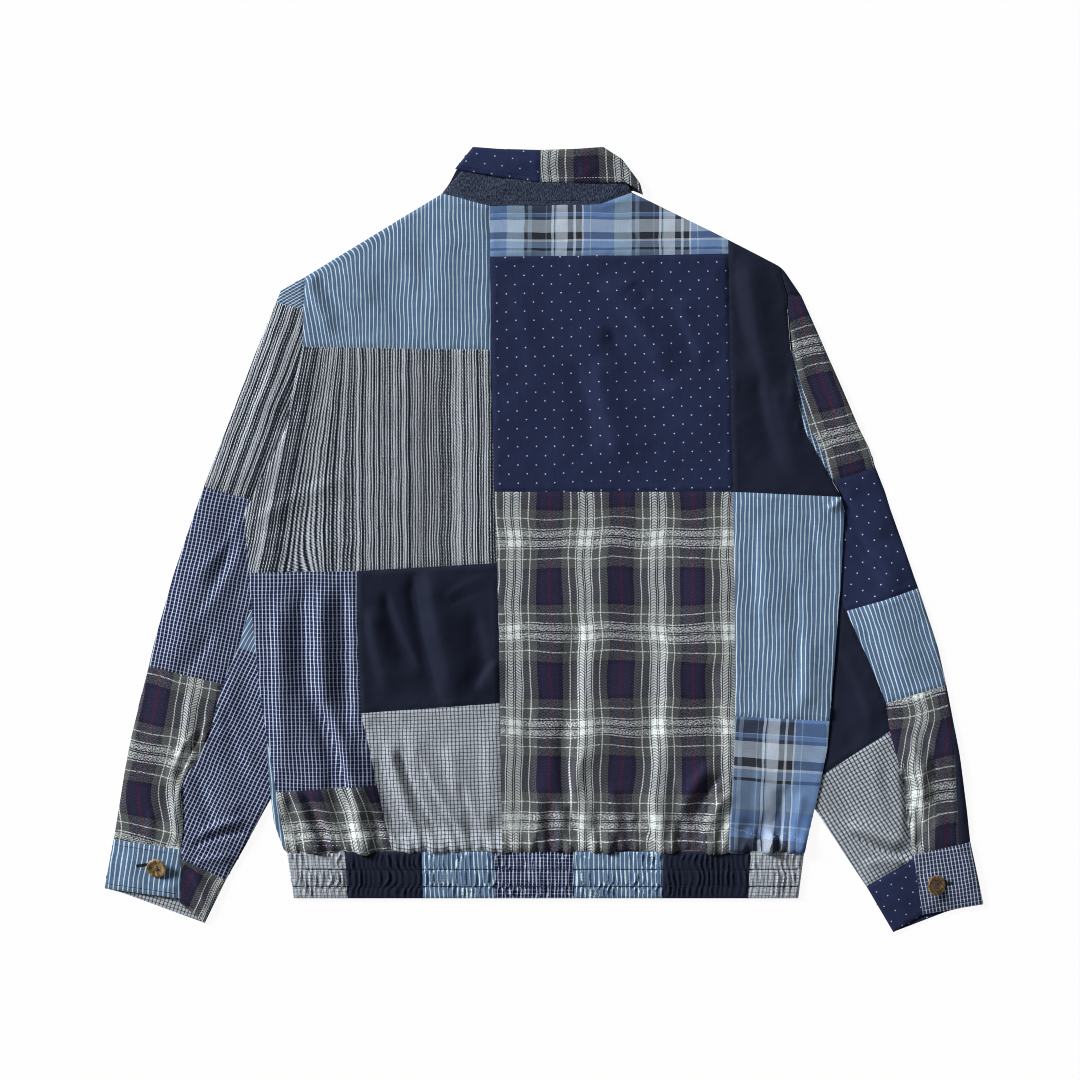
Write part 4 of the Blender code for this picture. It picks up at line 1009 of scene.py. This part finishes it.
def ripple(x, y):
    """Height of the elastic's ripples in the hem band, from -1 to 1."""
    zone = np.tanh((y - BAND_ROWS[0]) / 3) - np.tanh((y - BAND_ROWS[1]) / 3) + 1
    lean = zone * (1.0 + 1.8 * uneven(x, y * 0, 40, 11))
    wander = 3.0 * uneven(x, y, 14, 12) + 3.6 * uneven(x, y * 0, 27, 13)
    phase = (x + wander + lean) / RIPPLE_PITCH
    strength = 0.65 + 0.6 * uneven(x, y, 13, 14)
    second = 0.45 * np.sin(2 * np.pi * (phase * 1.62 + 0.7 * uneven(x, y, 21, 15)))
    return (np.sin(2 * np.pi * phase) - 0.35 * np.cos(4 * np.pi * phase) + second) * strength


def surface(layer, piece_name, x, y):
    """Top of the cloth away from its seams and edges, in millimetres."""
    cloth = bpy.context.scene.jacket_cloth
    z = layer.base(x, y) + cloth.crease * crease_height(x, y, (layer.name, piece_name))
    broad = cloth.crumple / MM
    if layer.name in ("body", "sleeve_l", "sleeve_r"):
        z += broad * (uneven(x, y, 52, 1) + 0.55 * uneven(x, y, 23, 2) + 0.22 * uneven(x, y, 9, 3))
    elif layer.name != "band":
        z += broad * (0.3 * uneven(x, y, 20, 4) + 0.2 * uneven(x, y, 8, 5))
    if layer.name == "body":
        z += cloth.crease * gather_height(x, y) * (y < HEM_SEAM + GATHERED)
    if layer.name == "band":
        pinch = sum(hump((y - row) / 1.8) for row in BAND_ROWS)
        z += RIPPLE_RISE * ripple(x, y) * (1 - 0.35 * pinch) - 0.35 * pinch
    return z


def resample(loop, kinds, spacing):
    """Points along an outline, with their kind of side, that keep its corners."""
    out, sort = [], []
    for start, end, kind in zip(loop, np.roll(loop, -1, axis=0), kinds):
        count = max(1, int(math.ceil(np.linalg.norm(end - start) / spacing)))
        out += [start + (end - start) * i / count for i in range(count)]
        sort += [kind] * count
    return np.array(out), np.array(sort)


def round_free(points, kinds, passes):
    """Smooth the blunt corners of free sides."""
    for _ in range(passes):
        back, ahead = np.roll(points, 1, axis=0), np.roll(points, -1, axis=0)
        a, b = points - back, ahead - points
        turn = np.abs(np.arctan2(a[:, 0] * b[:, 1] - a[:, 1] * b[:, 0], (a * b).sum(axis=1)))
        free = (kinds == "free") & (np.roll(kinds, 1) == "free") & (turn < BLUNT)
        points = np.where(free[:, None], points * 0.5 + (back + ahead) * 0.25, points)
    return points


def push_out(points, amount):
    """Move an anticlockwise outline outwards."""
    along = np.roll(points, -1, axis=0) - np.roll(points, 1, axis=0)
    reach = np.maximum(np.linalg.norm(along, axis=1), 1e-6)
    return points + amount * np.stack([along[:, 1], -along[:, 0]], axis=1) / reach[:, None]


def fill(outline, spacing):
    """Points and triangles of a fine even mesh inside an outline."""
    low, high = outline.min(axis=0), outline.max(axis=0)
    inner = []
    for index, row in enumerate(np.arange(low[1] + spacing / 2, high[1], spacing * 0.88)):
        xs = np.arange(low[0] + spacing * (0.25 + 0.5 * (index % 2)), high[0], spacing)
        inner.append(np.stack([xs, np.full(len(xs), row)], axis=1))
    inner = np.vstack(inner)
    inner = inner[inside(inner[:, 0], inner[:, 1], outline)]
    inner = inner[to_segments(inner[:, 0], inner[:, 1], sides_of(outline)) > 0.5 * spacing]
    edges = [(i, (i + 1) % len(outline)) for i in range(len(outline))]
    points = [Vector(p) for p in np.vstack([outline, inner]).tolist()]
    made = delaunay_2d_cdt(points, edges, [], 1, 1e-4, False)
    flat = np.array([tuple(p) for p in made[0]])
    faces = np.array([tuple(f) for f in made[2]])
    middle = flat[faces].mean(axis=1)
    return flat, faces[inside(middle[:, 0], middle[:, 1], outline)].tolist()


def pattern_place(name, x, y, lift):
    """Place on the flat cloth, in millimetres, of points of a piece."""
    row = dict(zip(PIECE_COLUMNS, PIECES[name]))
    px, py = x.copy(), y.copy()
    for piece, at, reach, lean, level in FANS:
        if piece == name:
            across = px
            for _ in range(6):
                across = px - lean * soft(1 - (across - at) / reach) * (py - level)
            px = across
    for piece, level, reach, push in SWAYS:
        if piece == name:
            px = px - push * hump((py - level) / reach)
    if name == "back_stripe_shoulder":
        ax, ay, bx, by = SHOULDER_LINE
        below = np.abs((x - ax) * (by - ay) - (y - ay) * (bx - ax)) / math.hypot(bx - ax, by - ay)
        bend = np.clip(SHOULDER_BEND - below, 0, None) ** 2 / (2 * SHOULDER_BEND)
        px = px + bend * soft((-125 - x) / 75)
    px = px + 0.8 * uneven(x, y, 34, 21) + 0.3 * uneven(x, y, 13, 22) + lift[0]
    py = py + 0.8 * uneven(x, y, 34, 23) + 0.3 * uneven(x, y, 13, 24) + lift[1]
    warp, weft = math.radians(row["warp"]), math.radians(row["weft"])
    basis = np.array([[math.cos(weft), math.sin(warp)], [math.sin(weft), math.cos(warp)]])
    flat = np.linalg.inv(basis) @ np.stack([px - row["x"], py - row["y"]])
    return flat[0] * row["close"], flat[1] * row["tall"]


def add_object(name, data):
    obj = bpy.data.objects.new(name, data)
    bpy.context.scene.collection.objects.link(obj)
    return obj


def smooth_object(name, points, faces, finish):
    """A smooth object from points in millimetres, with its finish."""
    mesh = bpy.data.meshes.new(name)
    mesh.from_pydata((points * MM).tolist(), [], faces)
    mesh.polygons.foreach_set("use_smooth", np.ones(len(mesh.polygons), bool))
    mesh.materials.append(material(finish))
    return add_object(name, mesh)


def select_only(*objects):
    """Select some objects, make the last one active, and deselect all others."""
    bpy.ops.object.select_all(action="DESELECT")
    for obj in objects:
        obj.select_set(True)
        bpy.context.view_layer.objects.active = obj


def apply_modifiers(obj):
    select_only(obj)
    for modifier in list(obj.modifiers):
        bpy.ops.object.modifier_apply(modifier=modifier.name)


def area_of(points, faces):
    """Area of triangles in square metres."""
    corners = points[np.array(faces)]
    cross = np.cross(corners[:, 1] - corners[:, 0], corners[:, 2] - corners[:, 0])
    return 0.5 * np.linalg.norm(cross, axis=1).sum() * MM * MM


def cut_size(points):
    """Sides in metres of the smallest rectangle that the piece is cut from."""
    sizes = []
    for turn in np.radians(range(0, 90, 3)):
        across = points[:, 0] * math.cos(turn) + points[:, 1] * math.sin(turn)
        along = points[:, 1] * math.cos(turn) - points[:, 0] * math.sin(turn)
        sizes.append((np.ptp(across) * MM, np.ptp(along) * MM))
    return min(sizes, key=lambda sides: sides[0] * sides[1])


def lay_sheet(name, points, faces, place, seam, finish, wall):
    obj = smooth_object("cloth_" + name, points, faces, finish)
    mesh = obj.data
    corner = np.empty(len(mesh.loops), int)
    mesh.loops.foreach_get("vertex_index", corner)
    uv = np.stack(place, axis=1)[corner] * MM
    mesh.uv_layers.new(name="cloth").data.foreach_set("uv", uv.reshape(-1))
    mesh.attributes.new("seam", "FLOAT", "POINT").data.foreach_set("value", seam)
    mesh.update()
    modifier = obj.modifiers.new("wall", "SOLIDIFY")
    modifier.thickness = wall
    modifier.offset = -1
    modifier.use_rim = True
    modifier.use_even_offset = False
    apply_modifiers(obj)
    obj.data.set_sharp_from_angle(angle=math.radians(RIM_ANGLE))
    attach(obj, BODY)
    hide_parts(name)
    SLOTS.get(finish, finish)
    wide, tall = (max(side, NARROWEST * MM) for side in cut_size(points))
    area = area_of(points, faces)
    stretch = math.sqrt(max(1.0, area / (wide * tall)))


class Jacket:
    """The outlines and layers of the whole jacket, read from the frame once."""
    made = None

    def __init__(self):
        shapes = {name: (row[0], Piece(name)) for name, row in PIECES.items()}
        self.pieces = {name: shape for name, (_, shape) in shapes.items()}
        self.layers = {
            name: Layer(name, [shape for layer, shape in shapes.values() if layer == name])
            for name in LAYERS}
        for layer, shape in shapes.values():
            shape.sort_sides(shapes, self.layers[layer])

    @classmethod
    def get(cls):
        if cls.made is None:
            cls.made = cls()
        return cls.made

    def under_body(self, x, y):
        """1 where a sleeve is under the body, fading out beside it."""
        body = self.layers["body"]
        covered = np.any([inside(x, y, piece.loop) for piece in body.pieces], axis=0)
        covered &= y < UNDERARM
        sides = body.free_sides()
        away = to_segments(x, y, sides[(sides[:, [1, 3]] < UNDERARM + 2).all(axis=1)])
        return np.where(covered, 1.0, soft(1 - (away - 1) / 14))


def make_patch(name):
    """One patch of the upper layer, as a creased shell."""
    jacket = Jacket.get()
    cloth = bpy.context.scene.jacket_cloth
    row = dict(zip(PIECE_COLUMNS, PIECES[name]))
    layer, piece = jacket.layers[row["layer"]], jacket.pieces[name]
    on_body, on_band = layer.name == "body", layer.name == "band"
    spacing = layer.mesh * cloth.fineness
    outline, kinds = resample(piece.loop, piece.kinds, spacing)
    lap = np.where(kinds == "free", FREE_LAP, SEAM_LAP)[:, None]
    flat, faces = fill(push_out(round_free(outline, kinds, 3), lap), spacing)
    x, y = flat[:, 0].copy(), flat[:, 1].copy()
    z = surface(layer, name, x, y)
    slopes = [surface(layer, name, x + dx, y + dy) - surface(layer, name, x - dx, y - dy)
              for dx, dy in ((0.5, 0), (0, 0.5))]

    # free edges roll down, seams lie deep, and the cloth puckers beside them
    to_free = to_segments(x, y, layer.free_sides())
    to_seam = np.minimum(to_segments(x, y, piece.some_sides("sewn")), SEAM_FAR)
    over_sleeve = on_body * soft((UNDERARM - y) / 10) * soft((y + 300) / 20)
    part = np.clip(1 - to_free / layer.roll, 0, 1)
    rolled = layer.drop * (1 - 0.55 * over_sleeve) * (1 - np.sqrt(1 - part * part))
    z -= rolled + cloth.seam_dip / MM * hump(to_seam / SEAM_WIDTH)
    beside = np.exp(-to_seam / 6) * (1 - hump(to_seam / 2.5))
    z += 1.6 * cloth.pucker / MM * beside * (uneven(x, y, 5.5, 31) + 0.6 * uneven(x, y, 11, 32))
    z += (0.15 + 0.3 * uneven(x, y, 16, 33)) * hump((to_seam - 4.5) / 2.5)
    if on_band:
        quiet = soft(to_free / 5)
        z = z * quiet + (layer.base(x, y) - rolled) * (1 - quiet)
    if layer.name.startswith("sleeve"):
        hidden = jacket.under_body(x, y)
        z = np.where(hidden > 0, np.minimum(z, UNDER_BODY + 6 * (1 - hidden)), z)
    if on_body:
        low = soft((HEM_SEAM + 12 - y) / 12)
        y = y - low * HEM_OVERHANG * bulge(x)
        z = np.where(low > 0, np.maximum(z, OVER_BAND + 0.8 * (1 - low)), z)
    floor = np.where(to_free < 4, GROUND, TROUGH)
    z = floor + SETTLE * np.logaddexp(0, (z - floor) / SETTLE)

    # where the cloth slopes, its pattern is seen pulled together
    pull = 1.0 if on_band else 0.7
    place = pattern_place(name, flat[:, 0], flat[:, 1], [-pull * slope for slope in slopes])
    lay_sheet(
        name, np.stack([x, y, z], axis=1), faces, place,
        np.exp(-np.minimum(to_seam, to_free) / RUB_WIDTH), row["cloth"], layer.wall * MM)


def make_lower(name):
    """One piece of the lower layer, flat on the table."""
    cloth = bpy.context.scene.jacket_cloth
    finish, lean = LOWER[name]
    piece = Piece(name)
    spacing = LOWER_MESH * cloth.fineness
    outline, kinds = resample(piece.loop, piece.kinds, spacing)
    flat, faces = fill(round_free(outline, kinds, 2), spacing)
    x, y = flat[:, 0], flat[:, 1]
    if name.startswith("hem"):
        lifted = 0.3 * np.clip(np.sin(2 * np.pi * x / 14 + uneven(x, y, 20, 43)), 0, 1)
    else:
        lifted = LOWER_LIFT * np.clip(uneven(x, y, 38, 41) + 0.6 * uneven(x, y, 15, 42), 0, 1)
    warp = math.radians(lean)
    place = (x * math.cos(warp) - y * math.sin(warp) + uneven(x, y, 30, 44),
             x * math.sin(warp) + y * math.cos(warp))
    lay_sheet(
        name, np.stack([x, y, lifted + cloth.lower_wall / MM], axis=1), faces, place,
        np.exp(-to_segments(x, y, sides_of(piece.loop)) / RUB_WIDTH), finish, cloth.lower_wall)


# Threads, buttonholes and buttons -------------------------------------------------------------

def pick_faces(obj, way):
    """Go into edit mode with only the faces selected that look one way."""
    bpy.ops.object.mode_set(mode="EDIT")
    bpy.ops.mesh.select_mode(type="FACE")
    bpy.ops.mesh.select_all(action="DESELECT")
    bpy.ops.object.mode_set(mode="OBJECT")
    for face in obj.data.polygons:
        face.select = face.normal.dot(Vector(way)) > 0.9
    bpy.ops.object.mode_set(mode="EDIT")


def add_cylinder(**settings):
    """A cylinder that is the only object selected."""
    select_only()
    bpy.ops.mesh.primitive_cylinder_add(**settings)
    return bpy.context.active_object


def one_stitch():
    """A short thread with tapered ends that dip into the cloth, along X, one unit long and wide."""
    obj = add_cylinder(vertices=6, radius=0.5, depth=0.7, rotation=(0, math.pi / 2, 0))
    bpy.ops.object.transform_apply(location=True, rotation=True, scale=True)
    for side in (-1, 1):
        pick_faces(obj, (side, 0, 0))
        bpy.ops.mesh.extrude_region_move(TRANSFORM_OT_translate={"value": (side * 0.15, 0, -0.35)})
        bpy.ops.transform.resize(value=(1, 0.5, 0.5))
    bpy.ops.object.mode_set(mode="OBJECT")
    points = np.array([tuple(v.co) for v in obj.data.vertices])
    faces = [tuple(f.vertices) for f in obj.data.polygons]
    bpy.data.objects.remove(obj)
    return points, faces


def moved(x, y, turn, along, across):
    """A place reached from another along a direction and to its left."""
    return (x + along * math.cos(turn) - across * math.sin(turn),
            y + along * math.sin(turn) + across * math.cos(turn))


def stitch_copies(name, places, thread, wide):
    """Copies of a stitch joined in one object. Each place is x, y, z, direction, length in mm."""
    shape, faces = one_stitch()
    points, joined = [], []
    for x, y, z, turn, reach in places:
        base = len(points) * len(shape)
        px, py = moved(x, y, turn, shape[:, 0] * reach, shape[:, 1] * wide)
        points.append(np.stack([px, py, z + shape[:, 2] * wide], axis=1))
        joined += [tuple(i + base for i in face) for face in faces]
    obj = smooth_object(name, np.vstack(points), joined, thread)
    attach(obj, BODY)
    SLOTS.get(thread, thread)
    return obj


def height_at(layer_name, x, y):
    """Top of a layer's cloth at one point."""
    layer = Jacket.get().layers[layer_name]
    return max(TROUGH, float(surface(layer, "", np.array([x]), np.array([y]))[0]))


def row_places(layer_name, corners, pitch, reach, sway=0.25):
    """Places of the stitches along a run of straight lines."""
    rng = np.random.RandomState(int(abs(corners[0][0]) * 7) % 1000)
    places = []
    for (x0, y0), (x1, y1) in zip(corners, corners[1:]):
        run = math.hypot(x1 - x0, y1 - y0)
        turn = math.atan2(y1 - y0, x1 - x0)
        for index in range(int(run / pitch)):
            part = (index + 0.5) * pitch / run
            x = x0 + (x1 - x0) * part + rng.uniform(-sway, sway)
            y = y0 + (y1 - y0) * part + rng.uniform(-sway, sway)
            z = height_at(layer_name, x, y) + 0.05
            places.append((x, y, z, turn + rng.uniform(-0.1, 0.1), reach))
    return places


def buttonhole_places(layer_name, x, y, turn, reach):
    """Close short stitches round a slit."""
    pitch, places = 0.8, []
    count = int(reach / pitch)
    for index in range(count):
        for side in (-1, 1):
            px, py = moved(x, y, turn, (index - (count - 1) / 2) * pitch, side * 0.75)
            places.append((px, py, height_at(layer_name, px, py) + 0.1, turn + math.pi / 2, 1.6))
    return places


def loose_end_places(layer_name, x, y, turn, reach):
    """A curling end of thread, as short overlapping runs."""
    run, places = 1.5, []
    for _ in range(int(reach / run)):
        under = "band" if layer_name == "body" and y < HEM_SEAM - HEM_OVERHANG else layer_name
        places.append((x, y, height_at(under, x, y) + 0.3, turn, 2.4))
        x, y = moved(x, y, turn, run, 0)
        turn += 0.22
    return places


def button_pose(name, middle):
    """Tilt of a button about its middle, and its lift off the cloth."""
    _, tilt, line, lift = BUTTON_POSES[name]
    axis = Vector((math.cos(math.radians(line)), math.sin(math.radians(line)), 0))
    return (Matrix.Translation(middle + Vector((0, 0, lift * MM)))
            @ Matrix.Rotation(math.radians(tilt), 4, axis) @ Matrix.Translation(-middle))


def make_button(name):
    """A four-hole horn button with a raised rim."""
    low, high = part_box(name)
    middle = (low + high) / 2
    radius, deep = (high.x - low.x) / 2, high.z - low.z
    obj = add_cylinder(
        vertices=48, radius=radius * BUTTON_BLANK, depth=deep * BUTTON_BLANK, location=(0, 0, 0))
    obj.name = "horn_" + name
    pick_faces(obj, (0, 0, 1))
    for size, rise in BUTTON_FACE:
        bpy.ops.mesh.inset(thickness=size * radius, depth=rise * deep)
    bpy.ops.mesh.poke()
    bpy.ops.object.mode_set(mode="OBJECT")
    bevel = obj.modifiers.new("round", "BEVEL")
    bevel.width = 0.22 * deep
    bevel.segments = 3
    bevel.limit_method = "ANGLE"
    bevel.angle_limit = math.radians(SMOOTH_ANGLE)
    cutters = []
    for x, y in ((1, 1), (-1, 1), (-1, -1), (1, -1)):
        cutters.append(add_cylinder(
            vertices=16, radius=0.085 * radius, depth=4 * deep,
            location=(x * BUTTON_HOLES * radius, y * BUTTON_HOLES * radius, 0)))
        hole = obj.modifiers.new("hole", "BOOLEAN")
        hole.operation = "DIFFERENCE"
        hole.solver = "EXACT"
        hole.object = cutters[-1]
    apply_modifiers(obj)
    for cutter in cutters:
        bpy.data.objects.remove(cutter)
    obj.data.transform(
        button_pose(name, middle)
        @ Matrix.Translation(Vector((middle.x, middle.y, middle.z - 0.02 * deep)))
        @ Matrix.Rotation(math.radians(BUTTON_POSES[name][0]), 4, "Z")
        @ Matrix.Diagonal((1 / BUTTON_BLANK, 1 / BUTTON_BLANK, 1, 1)))
    obj.data.materials.clear()
    obj.data.materials.append(material("horn"))
    select_only(obj)
    bpy.ops.object.shade_smooth_by_angle(angle=math.radians(SMOOTH_ANGLE))
    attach(obj, BODY)
    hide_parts(name)
    return middle, radius, high


# Operators ------------------------------------------------------------------------------------

class MakePatches:
    """Shared work of the operators that make patches."""
    layers = ()

    def execute(self, context):
        for name, row in PIECES.items():
            if row[0] in self.layers:
                make_patch(name)
        return {"FINISHED"}


class JACKET_OT_back(MakePatches, bpy.types.Operator):
    """Make the patches of the back."""
    bl_idname = "jacket.back"
    bl_label = "Back"
    layers = ("body",)


class JACKET_OT_band(MakePatches, bpy.types.Operator):
    """Make the gathered hem band."""
    bl_idname = "jacket.band"
    bl_label = "Hem Band"
    layers = ("band",)


class JACKET_OT_sleeves(MakePatches, bpy.types.Operator):
    """Make the patches of both sleeves and their cuffs."""
    bl_idname = "jacket.sleeves"
    bl_label = "Sleeves"
    layers = ("sleeve_l", "sleeve_r", "cuff_l", "cuff_r", "cuff_l_under", "cuff_r_under")


class JACKET_OT_collar(MakePatches, bpy.types.Operator):
    """Make the collar's stand and leaf."""
    bl_idname = "jacket.collar"
    bl_label = "Collar"
    layers = ("leaf", "stand")


class JACKET_OT_fronts(bpy.types.Operator):
    """Make the lower layer: fronts, front halves of the sleeves and what is inside."""
    bl_idname = "jacket.fronts"
    bl_label = "Fronts"

    def execute(self, context):
        for name in LOWER:
            make_lower(name)
        return {"FINISHED"}


class JACKET_OT_threads(bpy.types.Operator):
    """Sew the rows of stitches, the buttonholes and the loose ends."""
    bl_idname = "jacket.threads"
    bl_label = "Threads"

    def execute(self, context):
        cloth = context.scene.jacket_cloth
        reach, wide = cloth.stitch_length / MM, cloth.thread / MM
        band = []
        for row in BAND_ROWS:
            inset = (HEM_SEAM - row) * 0.1      # the band's ends slant inwards
            band += row_places("band", ((-254 + inset, row), (257 - inset, row)), 2.4, 2.7, 0.15)
        stitch_copies("stitches_band", band, "thread_dark", 1.6 * wide)
        places = {"thread_dark": [], "thread_light": []}
        for layer_name, thread, corners, pitch in STITCH_ROWS:
            places[thread] += row_places(layer_name, corners, pitch, reach)
        for layer_name, x, y, turn, slit in BUTTONHOLES:
            places["thread_dark"] += buttonhole_places(layer_name, x, y, math.radians(turn), slit)
        for layer_name, x, y, turn, end in LOOSE_ENDS:
            places["thread_light"] += loose_end_places(layer_name, x, y, math.radians(turn), end)
        for thread, rows in places.items():
            stitch_copies("stitches_" + thread[7:], rows, thread, wide)
        return {"FINISHED"}


class JACKET_OT_buttons(bpy.types.Operator):
    """Make the two horn buttons and the thread that holds them."""
    bl_idname = "jacket.buttons"
    bl_label = "Buttons"

    def execute(self, context):
        for name in BUTTON_POSES:
            middle, radius, high = make_button(name)
            spread = BUTTON_HOLES * radius / MM
            turn = math.radians(BUTTON_POSES[name][0])
            places = []
            for side in (-1, 1):
                for sway in (-0.25, 0.2):
                    x, y = moved(middle.x / MM, middle.y / MM, turn, 0, side * (spread + sway))
                    places.append((x, y, high.z / MM - 1, turn, 2 * spread + 0.4))
            sewn = stitch_copies("thread_" + name, places, "horn", 0.5)
            sewn.data.transform(button_pose(name, middle))
        return {"FINISHED"}


class JACKET_OT_stage(bpy.types.Operator):
    """Lay the table, hang the lamps and place the camera."""
    bl_idname = "jacket.stage"
    bl_label = "Stage"

    def execute(self, context):
        scene, stage = context.scene, context.scene.jacket_stage
        select_only()
        bpy.ops.mesh.primitive_plane_add(size=8, location=(0, 0, -0.3 * MM))
        table = context.active_object
        table.name = "table"
        table.data.materials.append(self.white_table(stage.table_shadow))
        for name, place, spread, strength in (
                ("key", (-2.3, 1.5, 1.3), 16, stage.key),
                ("fill", (1.7, -1.0, 2.0), 60, stage.fill)):
            lamp = bpy.data.lights.new(name, "SUN")
            lamp.angle = math.radians(spread)
            lamp.energy = strength
            obj = add_object(name, lamp)
            obj.location = place
            obj.rotation_euler = (-Vector(place)).to_track_quat("-Z", "Y").to_euler()
        scene.world = bpy.data.worlds.new("room")
        scene.world.use_nodes = True
        room = Nodes(scene.world.node_tree)
        background = room.tree.nodes["Background"]
        in_view = room.put("LightPath", out="Is Camera Ray")
        room.feed(background.inputs["Color"], (1, 1, 1))
        room.feed(background.inputs["Strength"], in_view * (1 - stage.sky) + stage.sky)
        camera = bpy.data.cameras.new("camera")
        camera.lens = stage.lens
        camera.sensor_width = SENSOR
        scene.camera = add_object("camera", camera)
        scene.camera.location = (stage.view_x, 0, stage.view_width * stage.lens / SENSOR)
        scene.view_settings.view_transform = "Standard"
        scene.render.filter_size = 1.0
        scene.cycles.filter_width = 1.0
        return {"FINISHED"}

    @staticmethod
    def white_table(shadow):
        """Pale table that the camera sees as white, with part of the jacket's shadow."""
        finish = blank_material("table")
        nodes = Nodes(finish.node_tree)
        in_view = nodes.put("LightPath", out="Is Camera Ray")
        mirrored = Value(nodes, in_view.socket.node.outputs["Is Glossy Ray"])
        paper = nodes.put("BsdfDiffuse", None, {"Color": (0.86, 0.86, 0.86)})
        glow = nodes.put("Emission", None, {"Color": (1, 1, 1), "Strength": 1.03})
        share = (in_view + mirrored).least(1.0) * (1 - shadow)
        nodes.put("OutputMaterial", None, (nodes.put("MixShader", None, (share, paper, glow)),))
        return finish


class JACKET_PT_panel(bpy.types.Panel):
    """Lists the parts of the jacket and their settings."""
    bl_label = "Jacket"
    bl_idname = "JACKET_PT_panel"
    bl_space_type = "VIEW_3D"
    bl_region_type = "UI"
    bl_category = "Jacket"

    def draw(self, context):
        for operator in STEPS:
            self.layout.operator(operator.bl_idname)
        for name in GROUPS:
            box, group = self.layout.box(), getattr(context.scene, name)
            for key in group.__annotations__:
                box.prop(group, key)


GROUPS = {"jacket_cloth": JacketCloth, "jacket_stage": JacketStage, "jacket_colours": JacketColours}
STEPS = (
    JACKET_OT_stage, JACKET_OT_fronts, JACKET_OT_sleeves, JACKET_OT_back, JACKET_OT_band,
    JACKET_OT_collar, JACKET_OT_buttons, JACKET_OT_threads,
)


def register():
    for cls in (*GROUPS.values(), *STEPS, JACKET_PT_panel):
        bpy.utils.register_class(cls)
    for name, group in GROUPS.items():
        setattr(bpy.types.Scene, name, bpy.props.PointerProperty(type=group))


def unregister():
    for name in GROUPS:
        delattr(bpy.types.Scene, name)
    for cls in reversed((*GROUPS.values(), *STEPS, JACKET_PT_panel)):
        bpy.utils.unregister_class(cls)


def main():
    register()
    for operator in STEPS:
        group, name = operator.bl_idname.split(".")
        getattr(getattr(bpy.ops, group), name)()


if __name__ == "__main__":
    main()
